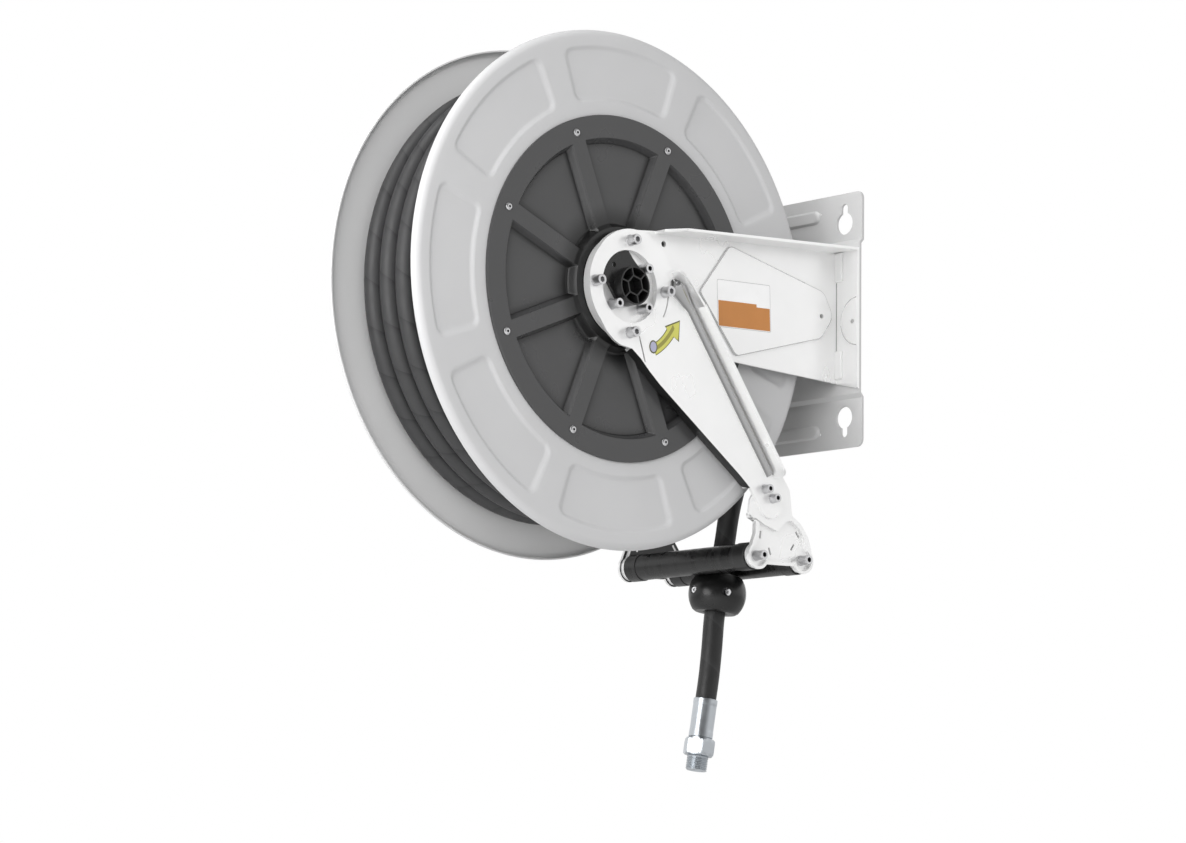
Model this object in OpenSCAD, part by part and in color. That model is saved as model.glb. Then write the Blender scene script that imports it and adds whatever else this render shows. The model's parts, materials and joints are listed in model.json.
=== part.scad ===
// Wall-mounted spring-rewind hose reel with a two-armed roller guide.
// Millimetres. +X runs along the axle towards the open hub side, +Y into the wall, +Z up.
// The origin is the centre of the four keyholes, on the face that lies against the wall.

/* [Wall plate] */
// Width of the wall plate
plate_w = 267; // [250:1:290]
// Height of the wall plate
plate_h = 278; // [264:1:300]
// Distance between the keyholes across the wall
pattern_w = 214; // [200:1:220]
// Distance between the keyholes up the wall
pattern_h = 212; // [206:1:216]
// Radius of a keyhole's round opening
key_r = 12; // [10:0.5:14]
// Width of a keyhole's slot
key_slot_w = 9.6; // [8:0.2:12]
// How far the slot runs past the round opening's centre
key_slot_rise = 16.5; // [14:0.5:18]
// Thickness of the folded steel sheet
sheet_t = 3; // [2.5:0.5:3.5]
// How far the middle of the plate stands off the wall
web_step = 4; // [3:0.5:5]
// Half height of the plate's raised middle
web_half_h = 82; // [80:1:84]
// Radius of the plate's outer corners
plate_corner_r = 8; // [4:1:12]

/* [Frame] */
// Distance from the wall to the axle
axle_out = 314; // [304:1:330]
// Distance from the keyhole centre down to the axle
axle_drop = 3; // [0:1:6]
// Half distance over the two side arms
arm_half_w = 102; // [100:1:106]
// Radius of the arms' round heads about the axle
head_r = 55.3; // [54.8:0.1:58]
// Radius of the heads' wider back, struck from a point behind the axle
head_back_r = 57.4; // [57:0.1:60]
// Radius of the opening in the heads
opening_r = 37.8; // [34:0.1:38]
// Radius of the circle of the four head screws
head_ring_r = 48; // [47:0.5:49]
// Side arm's upper edge above the axle at its head
arm_top_head = 63.5; // [60:0.5:66]
// Side arm's upper edge above the axle at the wall
arm_top_wall = 79; // [76:1:81]
// Side arm's lower edge below the axle at the wall
arm_low_wall = 66.5; // [62:0.5:70]
// Height of the pressed panel on the side arm
press_h = 2; // [1:0.5:2.5]

/* [Roller guide] */
// Distance from the axle down to the rollers
roller_drop = 261; // [258:1:270]
// Distance from the axle back to the middle between the rollers
guide_back = 223; // [221:1:226]
// Distance between the two roller axles
roller_pitch = 66; // [64:1:70]
// Radius of a roller tube
roller_r = 14; // [12:0.5:14]
// Wall of a roller tube
roller_wall = 3; // [2:0.5:4]
// Length of a roller's end cap
cap_len = 17.5; // [14:0.5:22]
// How much an end cap stands above the tube
cap_lip = 0.8; // [0.4:0.2:1.2]
// Radius of a roller axle
axle_r = 5; // [4:0.5:6]
// Thickness of a guide plate's web
guide_web_t = 4; // [3:0.5:5]
// Depth of a guide plate with its raised rim
guide_plate_d = 8.5; // [7:0.5:9]
// Depth of the guide arm's outer flange
guide_flange_d = 19; // [16:0.5:21]
// Depth of the guide arm's flange towards the drum
inner_flange_d = 8; // [5:0.5:8]
// Radius of the guide arm's lower end
guide_end_r = 17.8; // [17:0.2:19]

/* [Reel discs] */
// Outer radius of the two discs
disc_r = 270; // [262:1:276]
// Thickness of the disc sheet
disc_t = 1.5; // [1:0.25:2]
// Width over the two discs
drum_w = 142; // [140:0.5:144]
// Offset of the drum from the middle of the frame
drum_x = 17; // [15:0.5:18]
// Radius of the rolled rim
rim_roll = 8; // [5:1:10]
// Inner radius of the pressed panels
panel_in_r = 194; // [190:1:198]
// Outer radius of the pressed panels
panel_out_r = 253; // [246:1:254]
// Depth of the pressed panels
panel_d = 2.5; // [1.5:0.25:3]
// Angle that one panel spans
panel_span = 37; // [34:0.5:39]
// Rounding of a panel's corners
panel_corner_r = 11; // [6:1:14]

/* [Hub covers] */
// Outer radius of a hub cover
cover_r = 180; // [177:0.5:183]
// Thickness of a cover's rim
cover_t = 3; // [2.5:0.5:4]
// Radius of the step down into the cover's sectors
step_r = 156; // [152:0.5:156]
// Depth of the sectors below the cover's rim
sector_d = 8; // [6:0.5:9]
// Width of a spoke's flat top
spoke_w = 18; // [12:1:22]
// How far a spoke's side spreads towards its foot
spoke_draft = 4; // [2:0.5:5]
// Radius of the cover's hub
hub_r = 63; // [60:1:66]
// How far the hub stands above the rim
hub_rise = 2.5; // [1.5:0.25:2.5]
// Radius of the circle of cover screws
cover_ring_r = 166; // [165:0.5:167]
// Radius of a cover screw's head
cover_head_r = 4; // [3:0.25:4.5]

/* [Hose] */
// Outer diameter of the hose
hose_od = 22.4; // [20:0.1:22.4]
// Radius of the outer layer's centre line
wind_r = 224; // [222:0.5:226]
// Distance between neighbouring turns
turn_pitch = 25; // [24:0.25:25.5]
// Turns of the outer layer that lie on the drum
turns = 4; // [3:1:4]
// How deep an end of the layer dives into the layer below
dive = 24; // [23:0.5:26]
// Radius of the drum core
core_r = 171.5; // [171:0.5:174]
// Wall of the drum core
core_t = 2.5; // [2:0.5:3]

/* [Hose end] */
// Radius of the ball stop
ball_r = 31; // [29.5:0.5:32]
// Half length of the ball stop between its flat ends
ball_half_len = 20.5; // [19.5:0.5:22]
// Turn of the ball stop about the hose
ball_turn = 27; // [0:1:45]
// Distance of a clamp screw from the hose's centre
ball_screw_off = 19; // [18:0.5:21]
// Radius of the crimped ferrule
ferrule_r = 12.9; // [12:0.1:14]
// Length of the crimped ferrule
ferrule_len = 43; // [40:1:52]
// Width over the corners of the fitting's hexagon
hex_w = 34; // [30:0.5:38]
// Length of the fitting's hexagon
hex_len = 18; // [12:1:20]
// Radius of the hose end's male thread
end_thread_r = 11.45; // [9.5:0.05:12]
// Length of the hose end's male thread
end_thread_len = 16; // [14:1:22]
// Radius of the inlet's male thread
thread_r = 10.5; // [9.5:0.1:11.5]
// Length of the inlet's male thread
thread_len = 18; // [14:1:22]
// Radius of the waterway
water_r = 6.4; // [5:0.1:7]

/* [Shaft and swivel] */
// Radius of the fixed shaft
shaft_r = 15; // [13:0.5:15]
// Radial clearance of every running fit
run_gap = 0.05; // [0.03:0.01:0.1]
// Radial clearance of screws and pins in their holes
slip_gap = 0.2; // [0.1:0.05:0.3]
// Wall of a bearing bush
bush_t = 5; // [3:0.5:6]
// How far the flanges that clamp the shaft stay inside the arms' heads
flange_inset = 0.9; // [0.5:0.1:1]
// Thickness of the clamping flanges
flange_t = 4.5; // [3:0.25:4.5]
// Radius of the swivel body
swivel_r = 30; // [28:0.5:34]
// Length of the swivel body
swivel_len = 45; // [42:1:48]
// Radius of a seal's section
seal_r = 1.9; // [1.5:0.1:2]
// Radius of the outlet pipe
pipe_r = 9; // [8:0.5:11]

/* [Power spring] */
// Radius of the spring case
case_r = 140; // [130:1:148]
// Sheet of the spring case
case_t = 1.5; // [1:0.25:2]
// Width of the spring case
case_w = 61; // [56:1:61]
// Thickness of the spring strip
strip_t = 1.6; // [1:0.1:2]
// Turns of the spring strip
strip_turns = 9; // [6:1:11]
// Radius of the spring arbor
arbor_r = 24; // [20:0.5:25]

/* [Ratchet] */
// Outer radius of the ratchet wheel
ratchet_r = 56; // [50:1:58]
// Thickness of the ratchet wheel
ratchet_t = 6; // [5:0.5:8]
// Number of ratchet teeth, a multiple of four
ratchet_teeth = 12; // [8:4:16]
// Depth of a ratchet tooth
tooth_d = 7; // [5:0.5:8]
// Thickness of the pawl
pawl_t = 4; // [3:0.5:5]
// Radius of the pawl pin
pawl_pin_r = 4; // [3:0.5:5]

/* [Screws] */
// Radius of the large socket heads
head_screw_r = 5.4; // [4.5:0.1:6]
// Height of the large socket heads
head_screw_h = 11.4; // [9:0.2:14]
// Radius of the large screws' shanks
shank_r = 3.5; // [2.5:0.25:4]
// Radius of the small socket heads
small_head_r = 4.6; // [3.5:0.1:5]
// Height of the small socket heads
small_head_h = 9; // [6:0.5:11]

/* [Hidden] */
$fn = 64;

// Colours
zinc = [0.90, 0.91, 0.92];
grey_paint = [0.72, 0.73, 0.74];
disc_grey = [0.78, 0.78, 0.78];
dark_plastic = [0.22, 0.22, 0.23];
black_plastic = [0.08, 0.08, 0.08];
rubber = [0.13, 0.13, 0.14];
brass = [0.78, 0.62, 0.30];
steel = [0.62, 0.63, 0.65];

// Frame
guide_half_w = arm_half_w + sheet_t;      // outer face of the guide arms
arm_in = arm_half_w - sheet_t;            // inner face of the side arms
plate_front = axle_out - sheet_t - web_step;  // back of the base flanges, from the axle
base_front = plate_front - sheet_t;       // front of the base flanges, from the axle
head_screw_hole_r = shank_r + slip_gap;
key_slot_r = key_slot_w / 2;
ear_half_h = plate_h / 2;
step_slope = 4.5;                         // height of the bend between web and ear
rib_w = 10;                               // pressed rib on each ear
rib_half_l = 62;
rib_z = ear_half_h - 18;
arm_front = 38;                           // where the top flange starts, back from the axle
arm_hole = [49.4, 51.4];                  // small holes of the side arm
arm_hole_r = 3.2;
pad_pts = [[100, 8], [143, 62], [283, 30], [297, 5], [279, -20], [153, -54]];
pad_radii = [5, 8, 14, 14, 14, 8];
pad_screw = [279.4, 3.9];
boss_x = 34;                              // centre of the round boss past the side arm
boss_z = -1.4;
boss_r = 26;
tab_w = 10;
tab_top = [arm_top_wall - 35, arm_top_wall - sheet_t - 1];  // heights of the upper corner tab
tab_low = [4.5 - arm_low_wall, 34.5 - arm_low_wall];        // heights of the lower corner tab
head_back = [5, 3];                       // centre of the heads' wider back
flange_r = head_r - flange_inset;

// Guide arm and guide plate, as [back, up] from the axle
function tangent_angle(p, c, r, side) = let (d = c - p)
    atan2(d[1], d[0]) + side * asin(r / norm(d));
function around(c, r, a) = c + r * [cos(a), sin(a)];
roller_front = guide_back - roller_pitch / 2;
roller_rear = guide_back + roller_pitch / 2;
arm_end = [guide_back - 18.7, -roller_drop + 57.5];
// Front edge of the guide arm, from its head down to its lower end
front_edge = [[-40, -38], [-31.5, -49.5], [-20.5, -58], [-12, -62], [4, -64], [16.5, -73],
    [29, -85], [43.5, -97], [arm_end[0] - 46, arm_end[1] + 24], [arm_end[0] - 31, arm_end[1] + 12]];
flange_from = 4;                          // point of the front edge where the inner flange starts
rear_start = [59, 20.5];                  // rear edge, from the head to its bend
rear_bend = [88.5, -12];
rear_angle = tangent_angle(rear_bend, arm_end, guide_end_r, 1);
rear_len = norm(around(arm_end, guide_end_r, rear_angle + 90) - rear_bend);
rear_stop = 18;                           // how far above the lower end the outer flange ends
end_screws = [[arm_end[0] - 9.3, arm_end[1] + 12.5], [arm_end[0] + 1.7, arm_end[1] + 3.5]];
slit_w = 1.8;
slit_r = head_ring_r + 5;                 // slit beside the rear head screw
slit_from = [13, -50.5];                  // slit beside the lower head screw
slit_to = [21.5, -76];
lobe_r = 14.5;
guide_out = arm_half_w;                   // outer face of the guide plates
guide_in = guide_out - guide_plate_d;     // inner face of the guide plates
roller_end = guide_in - 0.5;              // ends of the roller caps
roller_joint = roller_end - cap_len;      // where the caps meet the tube
cap_plug = 12;
rim_w = 3;                                // raised rim of the guide plates
rim_t = 3;                                // thickness of that rim
dish_share = 0.86;                        // size of the dish within the outline
body_share = 0.92;                        // size of the dish with its wall
axle_head = guide_in + guide_web_t;       // seat of the roller axle screws
axle_tap = 18;                            // depth of the tapped holes in the roller axles
// lower edge of the pad that the guide arm lies on, as [back, up] from the front roller
pad_edge = [[-40, 46], [-3.4, 38.3], [8.4, 33], [27.6, 27.5], [39.5, 38.5], [53, 41.5], [100, 41.5]];
// adjusting slots: [back, up, tilt] from the front or the rear roller
front_slots = [[6, 22.5, -5], [20, 6, 22]];
rear_slots = [[-5.2, 27, 37], [-12.6, 13, -34]];

// Drum
half_w = drum_w / 2;
disc_in = half_w - disc_t;                // inner face of the discs
cover_out = half_w + cover_t;             // outer face of the cover rims
floor_out = cover_out - sector_d;         // outer face of the sunk sectors
floor_in = floor_out - cover_t;
hub_out = cover_out + hub_rise;
cover_hole_r = step_r + 3;                // hole in the discs under the covers
bush_r = shaft_r + run_gap + bush_t;
screw_angles = [for (i = [0:7]) 22.5 + 45 * i];
panel_angles = [for (i = [0:7]) 45 * i];
cover_shank_r = 2.1;

// Hose lanes, measured from the middle of the drum
hose_r = hose_od / 2;
first_lane = -2 * turn_pitch;
last_lane = first_lane + turns * turn_pitch;
lay_gap = 0.4;                            // gap between a layer and what it lies on
rings = 24;                               // rings to a turn
ring_step = 360 / rings;
sag = cos(ring_step / 2);                 // how near a chord between two rings comes
core_top = wind_r * sag - hose_r - lay_gap;
lane_floor = (wind_r - dive + 1) * sag - hose_r - lay_gap;
lane_edge = last_lane - turn_pitch / 2;
hose_sides = 6;
wind_start = 320;                         // angle where the outer layer starts

// Shaft, swivel and inlet, measured from the middle of the drum
near_arm_x = arm_in - drum_x;
far_arm_x = -arm_in - drum_x;
shaft_near = near_arm_x;
shaft_far = -guide_half_w - drum_x - 4;
shaft_collar_r = shaft_r + 3;
swivel_near = -floor_in + swivel_len;
port_x = -floor_in + 25;
chamber_r = shaft_r + 6;
seal_x = [port_x - 14, port_x + 13];
seal_groove_r = shaft_r + run_gap + 2 * seal_r + 0.3;
pipe_top = core_r - core_t - 12;
fitting_r = 12;
fitting_top = core_r + 18;
key_w = 6;

// Spring case
case_near = floor_in;
case_far = case_near - case_w;
case_hole_r = arbor_r + 2.5;
strip_in_r = case_hole_r + 1;
strip_out_r = case_r - case_t - strip_t - 1;
arbor_far = case_far + 1;
arbor_near = case_near - 1;

// Ratchet
ratchet_far = -hub_out - ratchet_t;
pawl_far = -hub_out - 1 - pawl_t;
pawl_pivot = [70, 52];                    // [back, up] from the axle
pawl_side = 8;
pawl_lift = 9;                            // angle from engaged to the drawn, lifted place
root_r = ratchet_r - tooth_d;
ratchet_ring_r = 0.64 * ratchet_r;        // circle of the ratchet wheel's screws
tip_angle = 8;                            // where the pawl's tip meets the wheel
pawl_play = 2.3;                          // angle from the engaged pawl to the next tooth
ratchet_phase = tip_angle - pawl_play;
function lifted(p) = let (d = p - pawl_pivot) pawl_pivot
    + [d[0] * cos(pawl_lift) - d[1] * sin(pawl_lift), d[0] * sin(pawl_lift) + d[1] * cos(pawl_lift)];
spring_coils = 9;

// Inlet elbow
elbow_r = 13;
elbow_bend = 18;
elbow_x = shaft_far - 6 - elbow_bend;

// Route of the free hose, from the last turn down to the ferrule
hose_route = [[67, -90, -25], [67, -90, -45], [66, -90, -70], [62, -90, -95], [54, -90, -120],
    [43, -90, -150], [31, -90, -180], [20, -89, -210], [12, -87.5, -240], [6, -88, -268],
    [4.5, -91, -296], [3, -94.2, -325], [2, -96.2, -355], [1, -98.8, -383], [0, -102.5, -409]];
ball_at = hose_route[10];
ball_up = unit(hose_route[9] - hose_route[11]);
ball_split = 0.15;                        // half the gap between the ball's halves
hose_end = hose_route[len(hose_route) - 1];
end_dir = unit(hose_end - hose_route[len(hose_route) - 2]);
spigot_len = 10;                          // how far the fitting reaches into the ferrule
neck_len = 1.2;                           // groove at the ferrule's mouth

// ---- Helpers ----

function unit(v) = v / norm(v);

// Arc that rounds the corner b between a and c
function corner(a, b, c, r, n) =
    let (u = unit(a - b), v = unit(c - b), half = acos(u * v) / 2,
         centre = b + unit(u + v) * (r / sin(half)), reach = r / tan(half),
         s = b + u * reach - centre, e = b + v * reach - centre,
         a0 = atan2(s[1], s[0]), turn = (atan2(e[1], e[0]) - a0 + 540) % 360 - 180)
    [for (i = [0:n]) centre + r * [cos(a0 + turn * i / n), sin(a0 + turn * i / n)]];

// Polygon with its corners rounded, each with its own radius
function rounded(pts, radii, n = 5) =
    [for (i = [0:len(pts) - 1])
        each (radii[i] == 0 ? [pts[i]]
            : corner(pts[(i + len(pts) - 1) % len(pts)], pts[i], pts[(i + 1) % len(pts)],
                radii[i], n))];

// Band between two radii and two angles
function arc_band(r0, r1, a0, a1, n) =
    concat([for (i = [0:n]) around([0, 0], r0, a0 + (a1 - a0) * i / n)],
        [for (i = [n:-1:0]) around([0, 0], r1, a0 + (a1 - a0) * i / n)]);

// Band of one thickness on the left of a chain of points
function edge_band(pts, t) = let (last = len(pts) - 1)
    concat(pts, [for (i = [last:-1:0])
        let (d = unit(pts[min(i + 1, last)] - pts[max(i - 1, 0)])) pts[i] + t * [-d[1], d[0]]]);

// Sector between two radii and two angles, with rounded corners
function sector(r0, r1, span, cr, n = 6) =
    let (outer = asin(cr / (r1 - cr)), inner = asin(cr / (r0 + cr)), h = span / 2)
    concat(
        [for (i = [0:4]) (r1 - cr) * [cos(outer - h), sin(outer - h)]
            + cr * [cos(-h - 90 + i * (90 + outer) / 4), sin(-h - 90 + i * (90 + outer) / 4)]],
        [for (i = [1:n - 1]) r1 * [cos((outer - h) * (1 - 2 * i / n)), sin((outer - h) * (1 - 2 * i / n))]],
        [for (i = [0:4]) (r1 - cr) * [cos(h - outer), sin(h - outer)]
            + cr * [cos(h - outer + i * (90 + outer) / 4), sin(h - outer + i * (90 + outer) / 4)]],
        [for (i = [0:4]) (r0 + cr) * [cos(h - inner), sin(h - inner)]
            + cr * [cos(h + 90 + i * (90 - inner) / 4), sin(h + 90 + i * (90 - inner) / 4)]],
        [for (i = [1:n - 1]) r0 * [cos((h - inner) * (1 - 2 * i / n)), sin((h - inner) * (1 - 2 * i / n))]],
        [for (i = [0:4]) (r0 + cr) * [cos(inner - h), sin(inner - h)]
            + cr * [cos(inner - h + 180 + i * (90 - inner) / 4),
                sin(inner - h + 180 + i * (90 - inner) / 4)]]);

// Tube swept along a path, with one reference direction for each ring
module tube(path, refs, r, sides) {
    last = len(path) - 1;
    dirs = [for (i = [0:last]) unit(path[min(i + 1, last)] - path[max(i - 1, 0)])];
    us = [for (i = [0:last]) unit(refs[i] - (refs[i] * dirs[i]) * dirs[i])];
    pts = [for (i = [0:last], k = [0:sides - 1])
        path[i] + r * cos(360 * k / sides) * us[i]
            + r * sin(360 * k / sides) * cross(dirs[i], us[i])];
    sides_a = [for (i = [0:last - 1], k = [0:sides - 1])
        [i * sides + k, (i + 1) * sides + (k + 1) % sides, i * sides + (k + 1) % sides]];
    sides_b = [for (i = [0:last - 1], k = [0:sides - 1])
        [i * sides + k, (i + 1) * sides + k, (i + 1) * sides + (k + 1) % sides]];
    start_cap = [for (k = [1:sides - 2]) [0, k, k + 1]];
    end_cap = [for (k = [1:sides - 2]) [last * sides, last * sides + k + 1, last * sides + k]];
    polyhedron(pts, concat(sides_a, sides_b, start_cap, end_cap), convexity = 10);
}

// Moves to the axle, in the frame's middle or in the drum's middle
module at_axle() translate([0, -axle_out, -axle_drop]) children();
module on_drum() translate([drum_x, -axle_out, -axle_drop]) children();

// Extrudes a [back, up] outline along X, from x0 over t
module plate_x(x0, t) translate([x0, 0, 0]) rotate([90, 0, 90]) linear_extrude(t) children();

// Round bar along X from x0 to x1, at [back, up]
module bar_x(x0, x1, r, at = [0, 0]) translate([x0, at[0], at[1]]) rotate([0, 90, 0])
    cylinder(r = r, h = x1 - x0);

// Ring or profile of revolution about X: points are [radius, x]
module turned_x() rotate([0, 90, 0]) rotate_extrude($fn = 96) children();

// Socket head screw along +X, with its seat at x0
module socket_screw(x0, at, r, h, shank, reach) {
    translate([x0, at[0], at[1]]) rotate([0, 90, 0]) difference() {
        union() {
            translate([0, 0, -reach]) cylinder(r = shank, h = reach + 0.5);
            cylinder(r = r + 0.7, h = 1.4);
            cylinder(r = r, h = h);
        }
        translate([0, 0, h - 0.55 * h]) cylinder(r = 0.56 * r, h = h, $fn = 6);
    }
}

module mirrored(near) if (near) children(); else mirror([1, 0, 0]) children();

// ---- Frame ----

module keyhole(x, z, dir) {
    translate([x, -sheet_t - 1, z]) rotate([-90, 0, 0]) cylinder(r = key_r, h = sheet_t + 2);
    translate([x, -sheet_t - 1, z + dir * key_slot_rise]) rotate([-90, 0, 0])
        cylinder(r = key_slot_r, h = sheet_t + 2);
    translate([x - key_slot_r, -sheet_t - 1, min(z, z + dir * key_slot_rise)])
        cube([key_slot_w, sheet_t + 2, key_slot_rise]);
}

module wall_plate() color(grey_paint) {
    front = -sheet_t;
    web_front = front - web_step;
    profile = [[front, ear_half_h], [front, web_half_h + step_slope], [web_front, web_half_h],
        [web_front, -web_half_h], [front, -web_half_h - step_slope], [front, -ear_half_h],
        [0, -ear_half_h], [0, -web_half_h - step_slope + 1], [web_front + sheet_t, -web_half_h + 1],
        [web_front + sheet_t, web_half_h - 1], [0, web_half_h + step_slope - 1], [0, ear_half_h]];
    outline = rounded([[-plate_w / 2, -ear_half_h], [plate_w / 2, -ear_half_h],
        [plate_w / 2, ear_half_h], [-plate_w / 2, ear_half_h]], [for (i = [0:3]) plate_corner_r]);
    difference() {
        union() {
            intersection() {
                plate_x(-plate_w / 2, plate_w) polygon(profile);
                rotate([90, 0, 0]) translate([0, 0, -1])
                    linear_extrude(sheet_t + web_step + 3) polygon(outline);
            }
            for (s = [-1, 1])
                translate([-rib_half_l, -sheet_t - 2, s * (rib_z - 3) - rib_w / 2])
                    cube([2 * rib_half_l, 2.5, rib_w]);
        }
        for (x = [-1, 1], z = [-1, 1]) {
            keyhole(x * pattern_w / 2, z * pattern_h / 2, z);
            translate([x * (rib_half_l + 8), -sheet_t - 1, z * rib_z]) rotate([-90, 0, 0])
                cylinder(r = 2, h = sheet_t + 2);
        }
    }
}

// Round head of an arm, as [back, up] from the axle
module arm_head() {
    circle(r = head_r, $fn = 96);
    translate(head_back) circle(r = head_back_r, $fn = 96);
}

module side_arm(near) mirrored(near) at_axle() color(zinc) difference() {
    union() {
        plate_x(arm_in, sheet_t) union() {
            arm_head();
            polygon([head_back + [0, head_back_r], [arm_front, arm_top_head],
                [base_front, arm_top_wall], [base_front, -arm_low_wall],
                head_back - [0, head_back_r]]);
        }
        // top flange, level with the outer edge of the base
        difference() {
            plate_x(arm_in, plate_w / 2 - arm_in)
                polygon([[arm_front, arm_top_head - sheet_t], [arm_front, arm_top_head],
                    [plate_front, arm_top_wall], [plate_front, arm_top_wall - sheet_t]]);
            translate([plate_w / 2, arm_front, arm_top_head]) rotate([0, 0, 45])
                cube([24, 24, 20], center = true);
        }
        // base flange
        translate([0, plate_front, 0]) rotate([90, 0, 0]) linear_extrude(sheet_t)
            polygon([[arm_in, arm_top_wall], [plate_w / 2, arm_top_wall - 1],
                [plate_w / 2, -arm_low_wall - 8], [arm_in, -arm_low_wall]]);
        // round boss on the base flange
        intersection() {
            translate([arm_half_w + boss_x, base_front + 1, boss_z]) rotate([90, 0, 0])
                cylinder(r = boss_r, h = 2.5);
            translate([arm_half_w, base_front - 4, -60]) cube([plate_w / 2 - arm_half_w, 8, 120]);
        }
        // pressed panel
        plate_x(arm_half_w - 1, press_h + 1) polygon(rounded(pad_pts, pad_radii, 6));
    }
    // hollow behind the pressed panel
    plate_x(arm_in - 1, press_h + 1)
        polygon([for (p = rounded(pad_pts, pad_radii, 6)) [195, 6] + 0.94 * (p - [195, 6])]);
    bar_x(arm_in - 1, arm_half_w + 1, opening_r);
    for (a = [0:90:270])
        bar_x(arm_in - 1, arm_half_w + 1, head_screw_hole_r, head_ring_r * [cos(a), sin(a)]);
    bar_x(arm_in - 1, arm_half_w + 1, arm_hole_r, arm_hole);
    bar_x(arm_in - 1, arm_half_w + press_h + 1, 2.6, pad_screw);
    if (!near) bar_x(arm_in - 1, arm_half_w + 1, pawl_pin_r, pawl_pivot);
    translate([arm_half_w + boss_x - 9, base_front + sheet_t + 1, boss_z]) rotate([90, 0, 0])
        cylinder(r = 2.5, h = 10);
}
module near_side_arm() side_arm(true);
module far_side_arm() side_arm(false);

// Tabs that lock the arms' corners
module corner_tabs() color(zinc) for (near = [true, false], t = [tab_top, tab_low])
    mirrored(near) at_axle()
        translate([arm_half_w, base_front - 3, t[0]]) cube([tab_w, 3, t[1] - t[0]]);

// Flange folded along an edge of the guide arm: a strip from [back, up], whose outline is
// given as [across, along]
module folded_strip(from, angle, outline) translate([0, from[0], from[1]]) rotate([angle, 0, 0])
    linear_extrude(sheet_t) polygon(outline);

module guide_arm(near) mirrored(near) at_axle() color(zinc) {
    bend = atan2(rear_bend[1] - rear_start[1], rear_bend[0] - rear_start[0]);
    bend_len = norm(rear_bend - rear_start);
    fold = arm_half_w + 1;
    outer = guide_half_w + guide_flange_d;
    flange_end = rear_len - rear_stop;
    difference() {
        plate_x(arm_half_w, sheet_t) union() {
            arm_head();
            polygon(concat([[0, 0]], front_edge,
                [around(arm_end, guide_end_r, 218), around(arm_end, guide_end_r, rear_angle + 90),
                 rear_bend, rear_start]));
            translate(arm_end) circle(r = guide_end_r);
        }
        bar_x(arm_half_w - 1, guide_half_w + 1, opening_r);
        for (a = [0:90:270])
            bar_x(arm_half_w - 1, guide_half_w + 1, head_screw_hole_r, around([0, 0], head_ring_r, a));
        for (p = end_screws) bar_x(arm_half_w - 1, guide_half_w + 1, head_screw_hole_r, p);
        // slits beside two of the head screws
        plate_x(arm_half_w - 1, sheet_t + 2)
            polygon(arc_band(slit_r, slit_r + slit_w, -29, -4, 5));
        plate_x(arm_half_w - 1, sheet_t + 2)
            polygon(edge_band([slit_from, slit_to], slit_w));
    }
    // outer flange along the rear edge, with rounded ends
    folded_strip(rear_start, bend, rounded([[fold, -2], [outer - 7, -2], [outer - 3, 6],
        [outer - 1, bend_len + 1], [fold, bend_len + 1]], [0, 5, 6, 0, 0]));
    folded_strip(rear_bend, rear_angle, rounded([[fold, -1], [outer, -1],
        [outer, flange_end], [fold, flange_end]], [0, 0, 8, 0]));
    // inner flange along the front edge
    plate_x(arm_half_w - inner_flange_d, inner_flange_d + 1)
        polygon(edge_band([for (i = [flange_from:len(front_edge) - 1]) front_edge[i]], sheet_t));
}
module near_guide_arm() guide_arm(true);
module far_guide_arm() guide_arm(false);

// Outline of a guide plate, as [back, up] from the axle
function guide_outline() = let (f = [roller_front, -roller_drop], b = [roller_rear, -roller_drop])
    rounded([f + [-14.5, 0], f + [-5, 24], f + [-4.5, 38], f + [-15.5, 42], f + [-13.5, 57],
        f + [-3, 74], f + [4, 90], f + [30, 91], b + [-21, 72.5], b + [-17.5, 46], b + [-3, 37],
        b + [7, 24], b + [14.5, 2], b + [-16, -7.5], f + [12, -8.5]],
        [0, 8, 4, 5, 6, 8, 10, 10, 6, 6, 8, 10, 0, 4, 4]);

module guide_plate(near) mirrored(near) at_axle() color(zinc) difference() {
    union() {
        plate_x(guide_out - rim_t, rim_t) polygon(guide_outline());
        plate_x(guide_in, guide_plate_d) dish(body_share, 4);
        for (y = [roller_front, roller_rear]) {
            bar_x(guide_out - rim_t, guide_out, lobe_r, [y, -roller_drop]);
            bar_x(guide_in, guide_out, lobe_r - rim_w / 2, [y, -roller_drop]);
        }
    }
    // dished middle inside the raised rim
    plate_x(axle_head, guide_plate_d) dish(dish_share, 0);
    for (y = [roller_front, roller_rear]) {
        bar_x(axle_head, guide_out + 1, lobe_r - rim_w, [y, -roller_drop]);
        bar_x(guide_in - 1, guide_out, axle_r + slip_gap, [y, -roller_drop]);
    }
    for (p = end_screws) bar_x(guide_in - 1, guide_out + 1, head_screw_hole_r, p);
    for (p = front_slots) adjusting_slot(roller_front, p);
    for (p = rear_slots) adjusting_slot(roller_rear, p);
}
// Dish below the pad that the guide arm lies on, at a share of the outline's size
module dish(share, up) difference() {
    from = [roller_front, -roller_drop];
    centre = from + [roller_pitch / 2, lobe_r];
    polygon([for (p = guide_outline()) centre + share * (p - centre)]);
    polygon([for (p = concat(pad_edge, [[100, 120], [-40, 120]])) from + p + [0, up]]);
}
module adjusting_slot(y, p) translate([guide_in - 1, y + p[0], -roller_drop + p[1]])
    rotate([p[2], 0, 0]) translate([0, -1.2, -4]) cube([guide_plate_d + 2, 2.4, 8]);
module near_guide_plate() guide_plate(true);
module far_guide_plate() guide_plate(false);

// ---- Frame fasteners ----

module head_screws() at_axle() color(steel) for (near = [true, false], a = [0:90:270])
    mirrored(near)
        socket_screw(guide_half_w, head_ring_r * [cos(a), sin(a)], head_screw_r, head_screw_h,
            shank_r, 2 * sheet_t + flange_t);

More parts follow.
